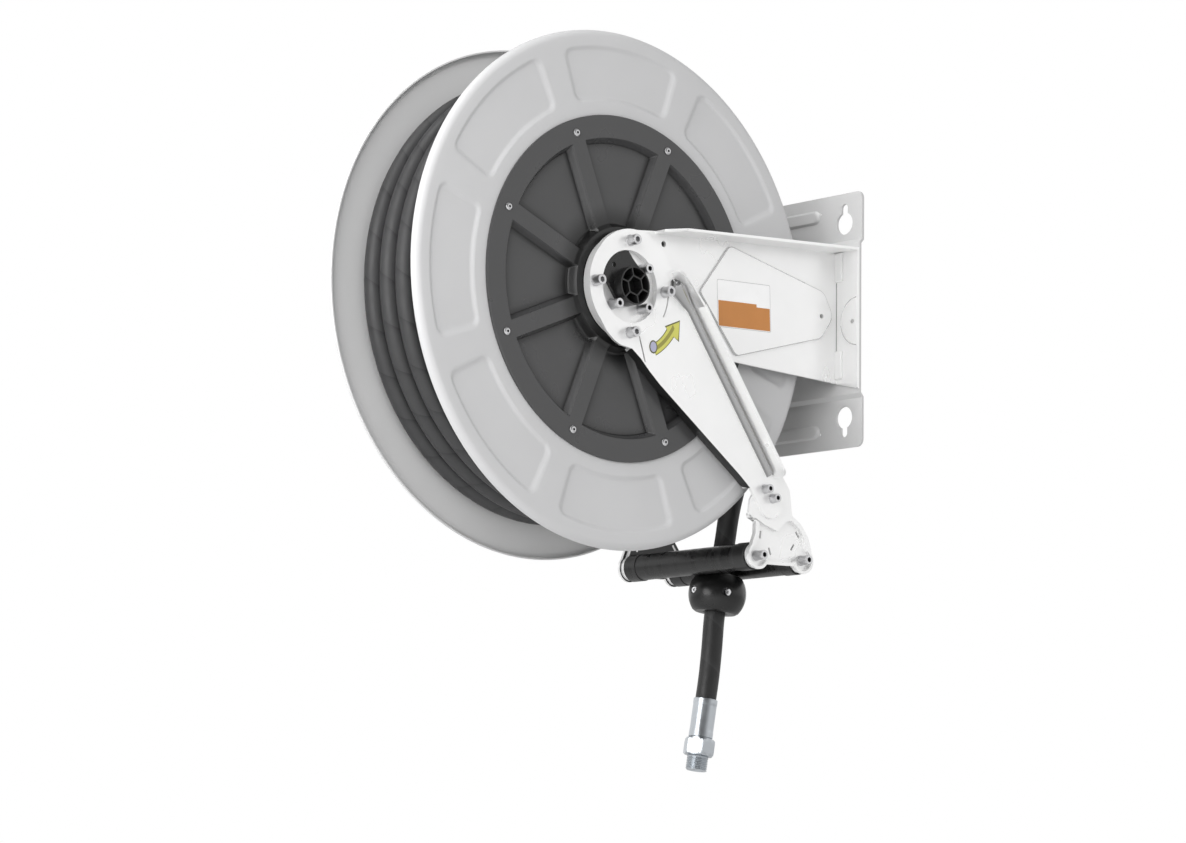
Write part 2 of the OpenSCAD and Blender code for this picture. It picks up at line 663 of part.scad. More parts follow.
module guide_arm_screws() at_axle() color(steel) for (near = [true, false], p = end_screws)
    mirrored(near)
        socket_screw(guide_half_w, p, small_head_r, small_head_h, shank_r - 0.5,
            sheet_t + guide_plate_d);

module roller_axle_screws() at_axle() color(steel)
    for (near = [true, false], y = [roller_front, roller_rear]) mirrored(near)
        socket_screw(axle_head, [y, -roller_drop], small_head_r + 0.4, small_head_h + 4,
            axle_r / 2, axle_tap);

module roller_axle(y) at_axle() color(steel) difference() {
    bar_x(-axle_head, axle_head, axle_r, [y, -roller_drop]);
    bar_x(axle_head - axle_tap, axle_head + 1, axle_r / 2, [y, -roller_drop]);
    bar_x(-axle_head - 1, axle_tap - axle_head, axle_r / 2, [y, -roller_drop]);
}
module front_roller_axle() roller_axle(roller_front);
module rear_roller_axle() roller_axle(roller_rear);

// ---- Rollers ----

module roller_tube(y) at_axle() color(black_plastic)
    translate([-roller_joint, y, -roller_drop]) rotate([0, 90, 0]) difference() {
        cylinder(r = roller_r, h = 2 * roller_joint);
        translate([0, 0, -1]) cylinder(r = roller_r - roller_wall, h = 2 * roller_joint + 2);
    }
module front_roller_tube() roller_tube(roller_front);
module rear_roller_tube() roller_tube(roller_rear);

module roller_caps(y) at_axle() color(black_plastic) for (near = [true, false]) mirrored(near)
    translate([roller_joint, y, -roller_drop]) rotate([0, 90, 0]) difference() {
        union() {
            cylinder(r = roller_r + cap_lip, h = cap_len);
            translate([0, 0, -cap_plug]) cylinder(r = roller_r - roller_wall, h = cap_plug + 1);
        }
        translate([0, 0, -cap_plug - 1]) cylinder(r = axle_r + run_gap, h = cap_plug + cap_len + 2);
    }
module front_roller_caps() roller_caps(roller_front);
module rear_roller_caps() roller_caps(roller_rear);

// ---- Shaft, flanges, hub ----

module main_shaft() on_drum() color(steel) difference() {
    union() {
        bar_x(shaft_far, shaft_near, shaft_r);
        // collar that the arbor seats against
        bar_x(arbor_far - 5, arbor_far, shaft_collar_r);
    }
    bar_x(shaft_far - 1, port_x + 8, water_r);
    for (a = [0:90:270]) rotate([a, 0, 0]) translate([port_x, 0, 0])
        cylinder(r = 4, h = shaft_r + 1);
    // keyway for the spring arbor
    translate([arbor_far, -key_w / 2, shaft_r - 3])
        cube([arbor_near - arbor_far + 20, key_w, 6]);
}

module shaft_flange(near) on_drum() color(steel) difference() {
    x0 = near ? near_arm_x - flange_t : far_arm_x;
    bar_x(x0, x0 + flange_t, flange_r);
    bar_x(x0 - 1, x0 + flange_t + 1, shaft_r);
    for (a = [0:90:270])
        bar_x(x0 - 1, x0 + flange_t + 1, shank_r, head_ring_r * [cos(a), sin(a)]);
    if (near) for (a = [45, -45, -135])
        bar_x(x0 - 1, x0 + flange_t + 1, core_shank_r, core_ring_r * [cos(a), sin(a)]);
}
module near_shaft_flange() shaft_flange(true);
module far_shaft_flange() shaft_flange(false);

core_ring_r = 29;                         // circle of the inner screws
core_shank_r = 2.5;
core_screw_h = 14;
core_r_out = 20;                          // radius of the honeycomb core
core_len = 14.5;
cell_r = 9.4;                             // corner radius of the middle cell
cell_turn = 45;
cell_wall = 1.7;
// Dark wing in the open quarter of the hub, as [back, up] from the axle
wing_edge = [[15.5, 21], [5.6, 30.1], [-1, 38], [-60, 38], [-60, 5.5], [-31, 5.5], [-24.4, -4.1],
    [-14.5, -16.3]];

// Outer cell, between two corners of the middle cell and the core's rim
function outer_cell(n = 6) = let (r = core_r_out - cell_wall, w = cell_wall / 2,
        s = asin(w / r), c = cell_r + cell_wall * cos(30))
    concat([for (i = [0:n]) r * [cos(s + (60 - 2 * s) * i / n), sin(s + (60 - 2 * s) * i / n)]],
        [[c * cos(60) + w * sin(60), c * sin(60) - w * cos(60)], [c, w]]);

module hub_core() on_drum() color(black_plastic) difference() {
    union() {
        bar_x(near_arm_x, near_arm_x + core_len, core_r_out);
        // wing that covers the open quarter of the hub
        plate_x(near_arm_x, 4) intersection() {
            circle(r = opening_r - 0.6, $fn = 72);
            polygon(concat([[0, 0]], wing_edge));
        }
    }
    // seven honeycomb cells
    plate_x(near_arm_x + 3, core_len) rotate(cell_turn) circle(r = cell_r, $fn = 6);
    plate_x(near_arm_x + 3, core_len) for (a = [0:60:300]) rotate(cell_turn + a) polygon(outer_cell());
    bar_x(near_arm_x - 1, near_arm_x + 6, 2.6, core_ring_r * [cos(135), sin(135)]);
}

module core_screws() on_drum() color(steel) for (a = [45, -45, -135])
    socket_screw(near_arm_x, core_ring_r * [cos(a), sin(a)], small_head_r + 0.4, core_screw_h,
        core_shank_r, flange_t);

// ---- Spring ----

module spring_arbor() on_drum() color(steel) difference() {
    bar_x(arbor_far, arbor_near, arbor_r);
    bar_x(arbor_far - 1, arbor_near + 1, shaft_r + run_gap);
    translate([arbor_far - 1, -key_w / 2, 0]) cube([arbor_near - arbor_far + 2, key_w, shaft_r + 3]);
}

module arbor_key() on_drum() color(steel)
    translate([arbor_far, -key_w / 2, shaft_r - 3]) cube([arbor_near - arbor_far, key_w, 6]);

module spring_case() on_drum() color(steel) difference() {
    bar_x(case_far + case_t, case_near, case_r);
    bar_x(case_far, case_near - case_t, case_r - case_t);
    bar_x(case_far, case_near + 1, case_hole_r);
}

module spring_lid() on_drum() color(steel) difference() {
    bar_x(case_far, case_far + case_t, case_r);
    bar_x(case_far - 1, case_far + case_t + 1, case_hole_r);
}

// Flat strip wound in a spiral, loose turns outside, its outer end against the case
module power_spring() on_drum() color([0.35, 0.40, 0.52])
    plate_x(case_far + case_t + 1, case_w - 2 * case_t - 2)
        polygon(concat([for (i = [0:strip_steps]) strip_pt(i, 0)],
            [for (i = [strip_steps:-1:0]) strip_pt(i, strip_t)]));
strip_steps = 32 * strip_turns;
function strip_pt(i, off) = (strip_in_r + (strip_out_r - strip_in_r) * i / strip_steps + off)
    * [cos(360 * i / 32), sin(360 * i / 32)];

// ---- Inlet ----

// Quarter of a ring that joins the elbow's two legs
module elbow_turn(r) translate([elbow_x + elbow_bend, 0, -elbow_bend]) intersection() {
    rotate([90, 0, 0]) rotate_extrude() translate([elbow_bend, 0]) circle(r = r);
    translate([-2 * elbow_bend, -elbow_bend, 0]) cube(2 * elbow_bend);
}

module inlet_elbow() on_drum() color(brass) difference() {
    union() {
        bar_x(elbow_x + elbow_bend, shaft_far, elbow_r);
        elbow_turn(elbow_r);
        translate([elbow_x, 0, -elbow_bend - 10]) cylinder(r = elbow_r, h = 10);
        bar_x(shaft_far - 6, shaft_far, elbow_r + 4);
    }
    bar_x(elbow_x + elbow_bend, shaft_far + 1, water_r);
    elbow_turn(water_r);
    translate([elbow_x, 0, -elbow_bend - 11]) cylinder(r = water_r, h = 12);
}

module inlet_nipple() on_drum() color(brass)
    translate([elbow_x, 0, -elbow_bend - 10]) difference() {
        union() {
            translate([0, 0, -12]) cylinder(r = 16, h = 12, $fn = 6);
            translate([0, 0, -12 - thread_len]) cylinder(r = thread_r, h = thread_len + 1);
        }
        translate([0, 0, -13 - thread_len]) cylinder(r = water_r, h = thread_len + 15);
    }

// ---- Drum ----

module drum_core() on_drum() color(steel) difference() {
    union() {
        turned_x() polygon([[core_r - core_t, -disc_in], [core_r, -disc_in], [core_r, disc_in],
            [core_r - core_t, disc_in]]);
        for (s = [-1, 1]) turned_x() translate([cover_hole_r, s > 0 ? disc_in - core_t : -disc_in])
            square([core_r - cover_hole_r - 1, core_t]);
        for (a = screw_angles, s = [-1, 1])
            bar_x(s > 0 ? disc_in - 14 : -disc_in, s > 0 ? disc_in : -disc_in + 14, 4.5,
                cover_ring_r * [cos(a), sin(a)]);
    }
    for (a = screw_angles, s = [-1, 1])
        bar_x(s > 0 ? disc_in - 12 : -disc_in - 1, s > 0 ? disc_in + 1 : -disc_in + 12,
            cover_shank_r, cover_ring_r * [cos(a), sin(a)]);
    translate([port_x, 0, core_r - 10]) cylinder(r = fitting_r, h = 20);
}

module disc(near) on_drum() mirrored(near) color(disc_grey) difference() {
    roll = [disc_r - rim_roll, half_w - rim_roll];
    pressed = near ? panel_angles : [];     // the disc on the ratchet's side is plain
    union() {
        difference() {
            turned_x() polygon(concat([[cover_hole_r, half_w], [cover_hole_r, disc_in]],
                [for (a = [90:-15:0]) roll + (rim_roll - disc_t) * [cos(a), sin(a)]],
                [for (a = [0:15:90]) roll + rim_roll * [cos(a), sin(a)]]));
            for (a = pressed) rotate([a, 0, 0])
                plate_x(disc_in - 1, disc_t + 2)
                    polygon(sector(panel_in_r, panel_out_r, panel_span, panel_corner_r));
        }
        // pressed panels with their walls
        for (a = pressed) rotate([a, 0, 0]) difference() {
            plate_x(disc_in - panel_d, disc_t + panel_d)
                polygon(sector(panel_in_r, panel_out_r, panel_span, panel_corner_r));
            plate_x(half_w - panel_d, panel_d + 1)
                polygon(sector(panel_in_r + disc_t, panel_out_r - disc_t,
                    panel_span - 0.8, panel_corner_r - disc_t));
        }
    }
    for (a = screw_angles)
        bar_x(disc_in - 1, half_w + 1, cover_shank_r + slip_gap, cover_ring_r * [cos(a), sin(a)]);
}
module near_disc() disc(true);
module far_disc() disc(false);

module cover(near) on_drum() mirrored(near) color(dark_plastic) difference() {
    union() {
        turned_x() polygon([[bush_r, floor_in], [step_r, floor_in], [cover_hole_r - 0.3, half_w],
            [cover_r, half_w], [cover_r, cover_out - 0.8], [cover_r - 0.8, cover_out],
            [step_r, cover_out], [step_r - cover_t, floor_out], [hub_r + 1, floor_out],
            [hub_r, hub_out], [bush_r, hub_out]]);
        for (a = screw_angles) rotate([a, 0, 0]) rotate([90, 0, 0])
            translate([0, 0, -step_r]) linear_extrude(step_r - hub_r + 4)
                polygon([[floor_out - 1, -spoke_w / 2 - spoke_draft],
                    [floor_out - 1, spoke_w / 2 + spoke_draft],
                    [cover_out, spoke_w / 2], [cover_out, -spoke_w / 2]]);
    }
    for (a = screw_angles)
        bar_x(half_w - 1, cover_out + 1, cover_shank_r + slip_gap, cover_ring_r * [cos(a), sin(a)]);
    if (!near) for (a = [0:90:270])
        bar_x(hub_out - 12, hub_out + 1, cover_shank_r, ratchet_ring_r * [cos(a), sin(a)]);
}
module near_cover() cover(true);
module far_cover() cover(false);

module cover_screws(near) on_drum() mirrored(near) color(steel) for (a = screw_angles)
    translate([cover_out, cover_ring_r * cos(a), cover_ring_r * sin(a)]) rotate([0, 90, 0])
        difference() {
            union() {
                translate([0, 0, -cover_t - disc_t - 8])
                    cylinder(r = cover_shank_r, h = cover_t + disc_t + 9);
                rotate_extrude() polygon([[0, 0], [cover_head_r, 0], [cover_head_r, 1],
                    [cover_head_r - 1.2, 2.2], [0, 2.4]]);
            }
            translate([0, 0, 1.2]) cylinder(r = 1.4, h = 3, $fn = 6);
        }
module near_cover_screws() cover_screws(true);
module far_cover_screws() cover_screws(false);

module bush(near) on_drum() mirrored(near) color(brass) difference() {
    union() {
        bar_x(floor_in, hub_out - 0.3, bush_r);
        bar_x(floor_in - 0.7, floor_in, bush_r + 3);
    }
    bar_x(floor_in - 2, hub_out + 1, shaft_r + run_gap);
}
module near_bush() bush(true);

// The feed side's bush sits between the swivel body and the hub's outer face
module far_bush() on_drum() color(brass) difference() {
    bar_x(-hub_out + 0.3, -floor_in, bush_r);
    bar_x(-hub_out - 1, -floor_in + 1, shaft_r + run_gap);
}

module swivel_body() on_drum() color(brass) difference() {
    bar_x(-floor_in, swivel_near, swivel_r);
    bar_x(-floor_in - 1, swivel_near + 1, shaft_r + run_gap);
    bar_x(port_x - 6, port_x + 6, chamber_r);
    for (x = seal_x) bar_x(x - seal_r - 0.2, x + seal_r + 0.2, seal_groove_r);
    translate([port_x, 0, chamber_r - 1]) cylinder(r = water_r, h = 20);
    translate([port_x, 0, swivel_r - 4]) cylinder(r = pipe_r, h = 10);
}

module swivel_seals() on_drum() color(black_plastic) for (x = seal_x)
    translate([x, 0, 0]) turned_x() translate([shaft_r + run_gap + seal_r + 0.05, 0])
        circle(r = seal_r);

module outlet_pipe() on_drum() color(brass) translate([port_x, 0, swivel_r - 4]) difference() {
    cylinder(r = pipe_r, h = pipe_top - swivel_r + 4);
    translate([0, 0, -1]) cylinder(r = water_r, h = pipe_top);
}

module core_fitting() on_drum() color(brass) translate([port_x, 0, pipe_top]) difference() {
    union() {
        cylinder(r = 15, h = 9, $fn = 6);
        cylinder(r = fitting_r, h = fitting_top - pipe_top);
    }
    translate([0, 0, -1]) cylinder(r = water_r, h = fitting_top);
}

module ratchet_wheel() on_drum() color(steel) difference() {
    plate_x(ratchet_far, ratchet_t) polygon([for (i = [0:ratchet_teeth - 1]) each
        let (w = 360 / ratchet_teeth, a = ratchet_phase + i * w)
        [around([0, 0], root_r, a + 0.03 * w), around([0, 0], root_r, a + 0.38 * w),
         around([0, 0], ratchet_r, a + 0.88 * w), around([0, 0], ratchet_r, a + w)]]);
    bar_x(ratchet_far - 1, ratchet_far + ratchet_t + 1, bush_r + 4);
    for (a = [0:90:270])
        bar_x(ratchet_far - 1, ratchet_far + ratchet_t + 1, cover_shank_r + slip_gap,
            ratchet_ring_r * [cos(a), sin(a)]);
}

module ratchet_screws() on_drum() color(steel) for (a = [0:90:270])
    bar_head(ratchet_far, ratchet_ring_r * [cos(a), sin(a)]);
module bar_head(x, at) {
    bar_x(x - 2.5, x, cover_head_r, at);
    bar_x(x - 1, x + ratchet_t + 10, cover_shank_r, at);
}

// Pawl, drawn lifted clear of the wheel
module pawl() on_drum() color(steel) difference() {
    plate_x(pawl_far, pawl_t) union() {
        translate(pawl_pivot) circle(r = pawl_side);
        polygon([for (p = [around([0, 0], root_r + 2, tip_angle),
            around([0, 0], ratchet_r + 3, tip_angle), pawl_pivot + [pawl_side - 0.5, -2],
            pawl_pivot + [-pawl_side + 0.5, -2]]) lifted(p)]);
    }
    bar_x(pawl_far - 1, pawl_far + pawl_t + 1, pawl_pin_r + run_gap, pawl_pivot);
}

module pawl_pin() on_drum() color(steel) {
    bar_x(far_arm_x - sheet_t, pawl_far + pawl_t + 0.8, pawl_pin_r, pawl_pivot);
    bar_x(pawl_far - 2.3, pawl_far - 0.3, pawl_pin_r + 2, pawl_pivot);
}

// Coil round the pawl pin, from the arm to the pin's collar
module pawl_spring() on_drum() color(steel) {
    wire = 0.9;
    coil = pawl_pin_r + wire + 0.6;
    from = far_arm_x + 2 * wire;
    to = pawl_far - 2.3 - 2 * wire;
    steps = 8 * spring_coils;
    path = concat([[far_arm_x, coil, 0]],
        [for (i = [0:steps]) [from + (to - from) * i / steps, coil * cos(45 * i), coil * sin(45 * i)]],
        [[pawl_far - 2.3, coil, 0]]);
    translate([0, pawl_pivot[0], pawl_pivot[1]])
        tube(path, [for (p = path) [0, p[1], p[2]]], wire, 6);
}

// ---- Hose ----

module hose_core() on_drum() color(rubber) difference() {
    turned_x() polygon([[core_r, -disc_in + panel_d + 0.5], [core_top, -disc_in + panel_d + 0.5],
        [core_top, lane_edge], [lane_floor, lane_edge], [lane_floor, disc_in - panel_d - 0.5],
        [core_r, disc_in - panel_d - 0.5]]);
    translate([port_x, 0, core_r - 5]) cylinder(r = fitting_r, h = fitting_top - core_r + 5);
}

function smooth(t) = let (c = min(max(t, 0), 1)) c * c * (3 - 2 * c);

// Outer layer: each turn keeps its lane and crosses to the next in its last sixth.
// Both ends dive into the layer below.
cross_part = 1 / 6;
dive_part = 2 / rings;
wind_from = -2;
wind_to = rings * (turns - cross_part);
function lane(u) = min(floor(u), turns - 1) + (u < turns - 1
    ? smooth((u - floor(u) - 1 + cross_part) / cross_part) : 0);
function layer_r(u) = wind_r - dive * smooth(-u / dive_part)
    - dive * smooth((u - (turns - cross_part - dive_part)) / dive_part);
function wind_pt(u) = let (a = wind_start - 360 * u)
    [first_lane + turn_pitch * (u < 0 ? 0 : lane(u)), layer_r(u) * cos(a), layer_r(u) * sin(a)];
wind_path = [for (i = [wind_from:wind_to]) wind_pt(i / rings)];
function least_gap(path, apart, d) =
    min([for (i = [0:len(path) - 1 - apart]) for (j = [i + apart:len(path) - 1])
        norm(path[i] - path[j])]) - d;
echo(winding_least_gap = least_gap(wind_path, 8, hose_od));

module hose_winding() on_drum() color(rubber)
    tube(wind_path, [for (p = wind_path) [0, p[1], p[2]]], hose_r, hose_sides);

// Last turn of the hose, which lies still while the drum turns under it. It rises from the
// layer below and ends straight, where the free hose leaves the drum.
last_from = 26;
function last_r(i) = wind_r - (dive - 1) * smooth((i - 20) / 3);
last_turn_path = concat([for (i = [last_from:-1:0])
    [last_lane, last_r(i) * cos(ring_step * i), last_r(i) * sin(ring_step * i)]],
    [[last_lane, wind_r, -22]]);
echo(last_turn_least_gap = least_gap(last_turn_path, 8, hose_od));

module hose_last_turn() on_drum() color(rubber)
    tube(last_turn_path, [for (p = last_turn_path) [0, p[1], p[2]]], hose_r, hose_sides);

module free_hose() color(rubber)
    tube(hose_route, [for (p = hose_route) [0, 1, 0]], hose_r, 10);

// ---- Ball stop and hose end ----

// Moves to a point and turns +Z to a direction
module along(p, d) {
    u = unit(d);
    translate(p) rotate([0, acos(u[2]), atan2(u[1], u[0])]) children();
}

// Moves to the ball stop, with +Z up the hose and X along the seam
module on_ball() translate(ball_at)
    rotate([-asin(ball_up[1]), atan2(ball_up[0], ball_up[2]), 0]) rotate([0, 0, ball_turn]) children();

ball_edge = asin((ball_half_len - 2) / ball_r);
ball_rim = ball_r * cos(ball_edge) - 3;
ball_profile = concat([[hose_r, 2 - ball_half_len], [hose_r + 2.5, -ball_half_len],
        [ball_rim, -ball_half_len]],
    [for (i = [-13:2:13]) ball_r * [cos(ball_edge * i / 13), sin(ball_edge * i / 13)]],
    [[ball_rim, ball_half_len], [hose_r + 2.5, ball_half_len], [hose_r, ball_half_len - 2]]);

module ball_half(side) color(black_plastic) on_ball() difference() {
    intersection() {
        rotate_extrude($fn = 96) polygon(ball_profile);
        translate([-ball_r - 1, side > 0 ? ball_split : -ball_r - 1 - ball_split, -ball_r])
            cube([2 * ball_r + 2, ball_r + 1, 2 * ball_r]);
    }
    for (s = [-1, 1]) translate([s * ball_screw_off, 0, 0]) rotate([90, 0, 0]) {
        translate([0, 0, -12]) cylinder(r = 1.8, h = 30);
        if (side < 0) translate([0, 0, 16]) cylinder(r = 4, h = 20);
    }
}
module ball_front_half() ball_half(-1);
module ball_rear_half() ball_half(1);

module ball_screws() color(zinc) on_ball() for (s = [-1, 1])
    translate([s * ball_screw_off, 0, 0]) rotate([90, 0, 0]) difference() {
        union() {
            translate([0, 0, -11]) cylinder(r = 1.8, h = 28);
            translate([0, 0, 16]) cylinder(r = 3.6, h = 4);
        }
        translate([0, 0, 18]) cylinder(r = 1.6, h = 4, $fn = 6);
    }

module ferrule() color(zinc) along(hose_end, end_dir) difference() {
    union() {
        cylinder(r = ferrule_r - 1, h = ferrule_len);
        cylinder(r = ferrule_r, h = ferrule_len - neck_len);
    }
    translate([0, 0, ferrule_len - spigot_len]) cylinder(r = water_r + 2, h = spigot_len + 1);
}

module end_fitting() color(zinc) along(hose_end, end_dir) difference() {
    union() {
        translate([0, 0, ferrule_len]) rotate([0, 0, 30]) cylinder(r = hex_w / 2, h = hex_len, $fn = 6);
        translate([0, 0, ferrule_len + hex_len - 1]) cylinder(r = end_thread_r, h = end_thread_len + 1);
        translate([0, 0, ferrule_len - spigot_len]) cylinder(r = water_r + 2, h = spigot_len + 1);
    }
    translate([0, 0, ferrule_len - spigot_len - 1])
        cylinder(r = water_r, h = spigot_len + hex_len + end_thread_len + 2);
}

wall_plate();
near_side_arm();
far_side_arm();
corner_tabs();
near_guide_arm();
far_guide_arm();
near_guide_plate();
far_guide_plate();
head_screws();
guide_arm_screws();
front_roller_axle();
rear_roller_axle();
roller_axle_screws();
main_shaft();
near_shaft_flange();
far_shaft_flange();
hub_core();
core_screws();
spring_arbor();
arbor_key();
inlet_elbow();
inlet_nipple();
pawl_pin();
pawl_spring();
hose_last_turn();
free_hose();
ball_front_half();
ball_rear_half();
ball_screws();
ferrule();
end_fitting();
drum_core();
near_disc();
far_disc();
near_cover();
far_cover();
near_cover_screws();
far_cover_screws();
near_bush();
far_bush();
spring_case();
spring_lid();
power_spring();
ratchet_wheel();
ratchet_screws();
swivel_body();
swivel_seals();
outlet_pipe();
core_fitting();
hose_core();
hose_winding();
front_roller_tube();
front_roller_caps();
rear_roller_tube();
rear_roller_caps();
pawl();
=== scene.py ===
# %% [markdown]
# # A wall-mounted hose reel with a spring rewind
# The reel hangs on a steel plate. Two side arms carry a fixed shaft, and the drum with its two
# pressed discs turns on it. Two guide arms reach down to a pair of rollers, which lead the hose.
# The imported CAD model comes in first, as a fixed frame that every surface here is fitted to.

# %% Load the frame
import json
import math

import bmesh
import bpy
import numpy as np
from mathutils import Matrix, Vector


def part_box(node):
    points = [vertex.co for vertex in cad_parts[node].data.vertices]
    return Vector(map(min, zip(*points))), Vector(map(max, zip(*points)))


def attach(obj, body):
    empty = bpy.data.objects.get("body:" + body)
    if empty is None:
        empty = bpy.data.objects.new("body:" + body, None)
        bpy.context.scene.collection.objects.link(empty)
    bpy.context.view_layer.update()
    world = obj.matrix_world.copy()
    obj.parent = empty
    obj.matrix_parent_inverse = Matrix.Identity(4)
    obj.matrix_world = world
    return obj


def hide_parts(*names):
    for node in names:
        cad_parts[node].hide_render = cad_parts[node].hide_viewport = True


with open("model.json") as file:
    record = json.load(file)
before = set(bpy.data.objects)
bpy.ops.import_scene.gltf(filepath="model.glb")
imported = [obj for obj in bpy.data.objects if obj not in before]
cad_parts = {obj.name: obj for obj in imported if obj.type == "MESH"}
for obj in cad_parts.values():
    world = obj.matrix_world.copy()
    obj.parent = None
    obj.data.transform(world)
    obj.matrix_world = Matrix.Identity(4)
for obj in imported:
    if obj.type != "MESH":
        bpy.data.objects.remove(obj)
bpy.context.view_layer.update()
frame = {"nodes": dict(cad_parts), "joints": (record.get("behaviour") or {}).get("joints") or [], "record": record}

mm = 0.001
joint_at = {j["name"]: np.array(j["pos_m"]) for j in frame["joints"]}
drum_at = joint_at["drum_spin"]
frame_at = drum_at * [0, 1, 1]
outwards = {"near": 1, "far": -1}      # the near side faces +X and the far side -X
slot_of = {s["node"]: s["material_slot"] for s in frame["record"]["subparts"]}
body_of = {n: b for b, members in frame["record"]["behaviour"]["bodies"].items() for n in members}

# %% [markdown]
# ## Camera
# The view is from the open hub's side, a little below the axle, through a long lens. A camera's
# axes are its right, its up and its back; they follow from an azimuth, an elevation and a roll.
# They are written into the camera's matrix, because aiming it at a target would lose the roll.

# %% Camera
azimuth, elevation, roll = np.radians([48.16, -8.28, 0.70])
camera_at = (3.0644, -3.0123, -0.7262)
back = np.array([np.sin(azimuth) * np.cos(elevation), -np.cos(azimuth) * np.cos(elevation),
                 np.sin(elevation)])
level = np.array([np.cos(azimuth), np.sin(azimuth), 0.0])
upright = np.cross(back, level)
right = np.cos(roll) * level + np.sin(roll) * upright
up = np.cos(roll) * upright - np.sin(roll) * level

camera_data = bpy.data.cameras.new("camera")
camera_data.lens, camera_data.sensor_width, camera_data.clip_end = 120.41, 36, 100
camera = bpy.data.objects.new("camera", camera_data)
bpy.context.scene.collection.objects.link(camera)
pose = np.eye(4)
pose[:3, :3], pose[:3, 3] = np.array([right, up, back]).T, camera_at
camera.matrix_world = Matrix(pose.tolist())
bpy.context.scene.camera = camera
print("camera:", round(camera_data.lens, 2), "mm lens")

# %% [markdown]
# ## Light
# A white room: the world is white to the eye, and dimmer as a light. Bright metal is a mirror,
# and white all round would wash its edges out, so the room darkens for reflections towards the
# onlooker's side and overhead, as a studio does behind its camera and above its lamps. Four wide
# lamps give shape. The ones beside the camera and at the right would burn out in bright metal and
# are kept out of its reflections; the ones on the left and overhead show there as soft bands.

# %% Shader nodes
def maths(tree, kind, *values):
    """One Math node, whose inputs are numbers or other nodes' outputs."""
    node = tree.nodes.new("ShaderNodeMath")
    node.operation = kind
    for socket, value in zip(node.inputs, values):
        if isinstance(value, (int, float)):
            socket.default_value = value
        else:
            tree.links.new(value, socket)
    return node.outputs[0]


def ranged(tree, value, low, high, to_low, to_high, kind="LINEAR"):
    """Map Range node: low .. high becomes to_low .. to_high."""
    node = tree.nodes.new("ShaderNodeMapRange")
    node.interpolation_type = kind
    for socket, number in (("From Min", low), ("From Max", high), ("To Min", to_low),
                           ("To Max", to_high)):
        node.inputs[socket].default_value = number
    tree.links.new(value, node.inputs["Value"])
    return node.outputs[0]


# %% World
bpy.context.scene.view_settings.view_transform = "Standard"
room_light = 0.66                                  # as a light; to the eye the room is 1
onlooker = (0.62, -0.77, -0.15)
onlooker_fade, onlooker_level = (0.15, 0.85), 0.16
ceiling_fade, ceiling_level = (0.38, 0.66), 0.35

world = bpy.data.worlds.new("white_room")
world.use_nodes = True
bpy.context.scene.world = world
room = world.node_tree
room.nodes["Background"].inputs["Color"].default_value = (1, 1, 1, 1)
ray = room.nodes.new("ShaderNodeLightPath").outputs
direction = room.nodes.new("ShaderNodeTexCoord").outputs["Generated"]
towards = room.nodes.new("ShaderNodeVectorMath")
towards.operation = "DOT_PRODUCT"
towards.inputs[1].default_value = onlooker
room.links.new(direction, towards.inputs[0])
mirrored = ranged(room, towards.outputs["Value"], *onlooker_fade, 1.0, onlooker_level,
                  "SMOOTHSTEP")
height = room.nodes.new("ShaderNodeSeparateXYZ")
room.links.new(direction, height.inputs[0])
ceiling = ranged(room, height.outputs["Z"], *ceiling_fade, 1.0, ceiling_level, "SMOOTHSTEP")
mirrored = maths(room, "MULTIPLY", mirrored, ceiling)

# the brighter of eye and (1 - eye) x (bent x mirrored + (1 - bent) x room_light)
bent = maths(room, "MAXIMUM", ray["Is Glossy Ray"], ray["Is Transmission Ray"])
lit = maths(room, "ADD", maths(room, "MULTIPLY", bent, mirrored),
            maths(room, "MULTIPLY", maths(room, "SUBTRACT", 1.0, bent), room_light))
seen = maths(room, "MAXIMUM", ray["Is Camera Ray"],
             maths(room, "MULTIPLY", maths(room, "SUBTRACT", 1.0, ray["Is Camera Ray"]), lit))
room.links.new(seen, room.nodes["Background"].inputs["Strength"])
print("room: light", room_light, "with", len(room.nodes), "nodes")


# %% Lamps
reel_middle = Vector((0, -0.25, -0.05))


def soft_lamp(name, at, width, height, watts, mirrored=True):
    """Rectangular lamp at a place, turned to face the reel, and shown in mirrors or not."""
    data = bpy.data.lights.new(name, "AREA")
    data.shape = "RECTANGLE"
    data.size, data.size_y, data.energy = width, height, watts
    lamp = bpy.data.objects.new(name, data)
    bpy.context.scene.collection.objects.link(lamp)
    lamp.location = at
    lamp.rotation_euler = (reel_middle - Vector(at)).to_track_quat("-Z", "Y").to_euler()
    lamp.visible_glossy = mirrored


soft_lamp("front_lamp", (1.8, -2.6, 0.7), 1.4, 2.0, 34, mirrored=False)
soft_lamp("left_lamp", (0.25, -2.9, 0.6), 1.6, 2.6, 52)
soft_lamp("top_lamp", (-0.3, -1.5, 2.7), 1.6, 1.6, 24)
soft_lamp("side_lamp", (3.4, 0.2, 1.0), 1.6, 2.2, 4, mirrored=False)
print("lamps:", len(bpy.data.lights))

# %% [markdown]
# ## Floor
# The reel hangs well above a plain pale floor, which reaches far enough to have no edge in view.
# The floor is grey for the light it throws back, and paler to the eye, so that it fades into the
# room and still keeps the reel's shadow.

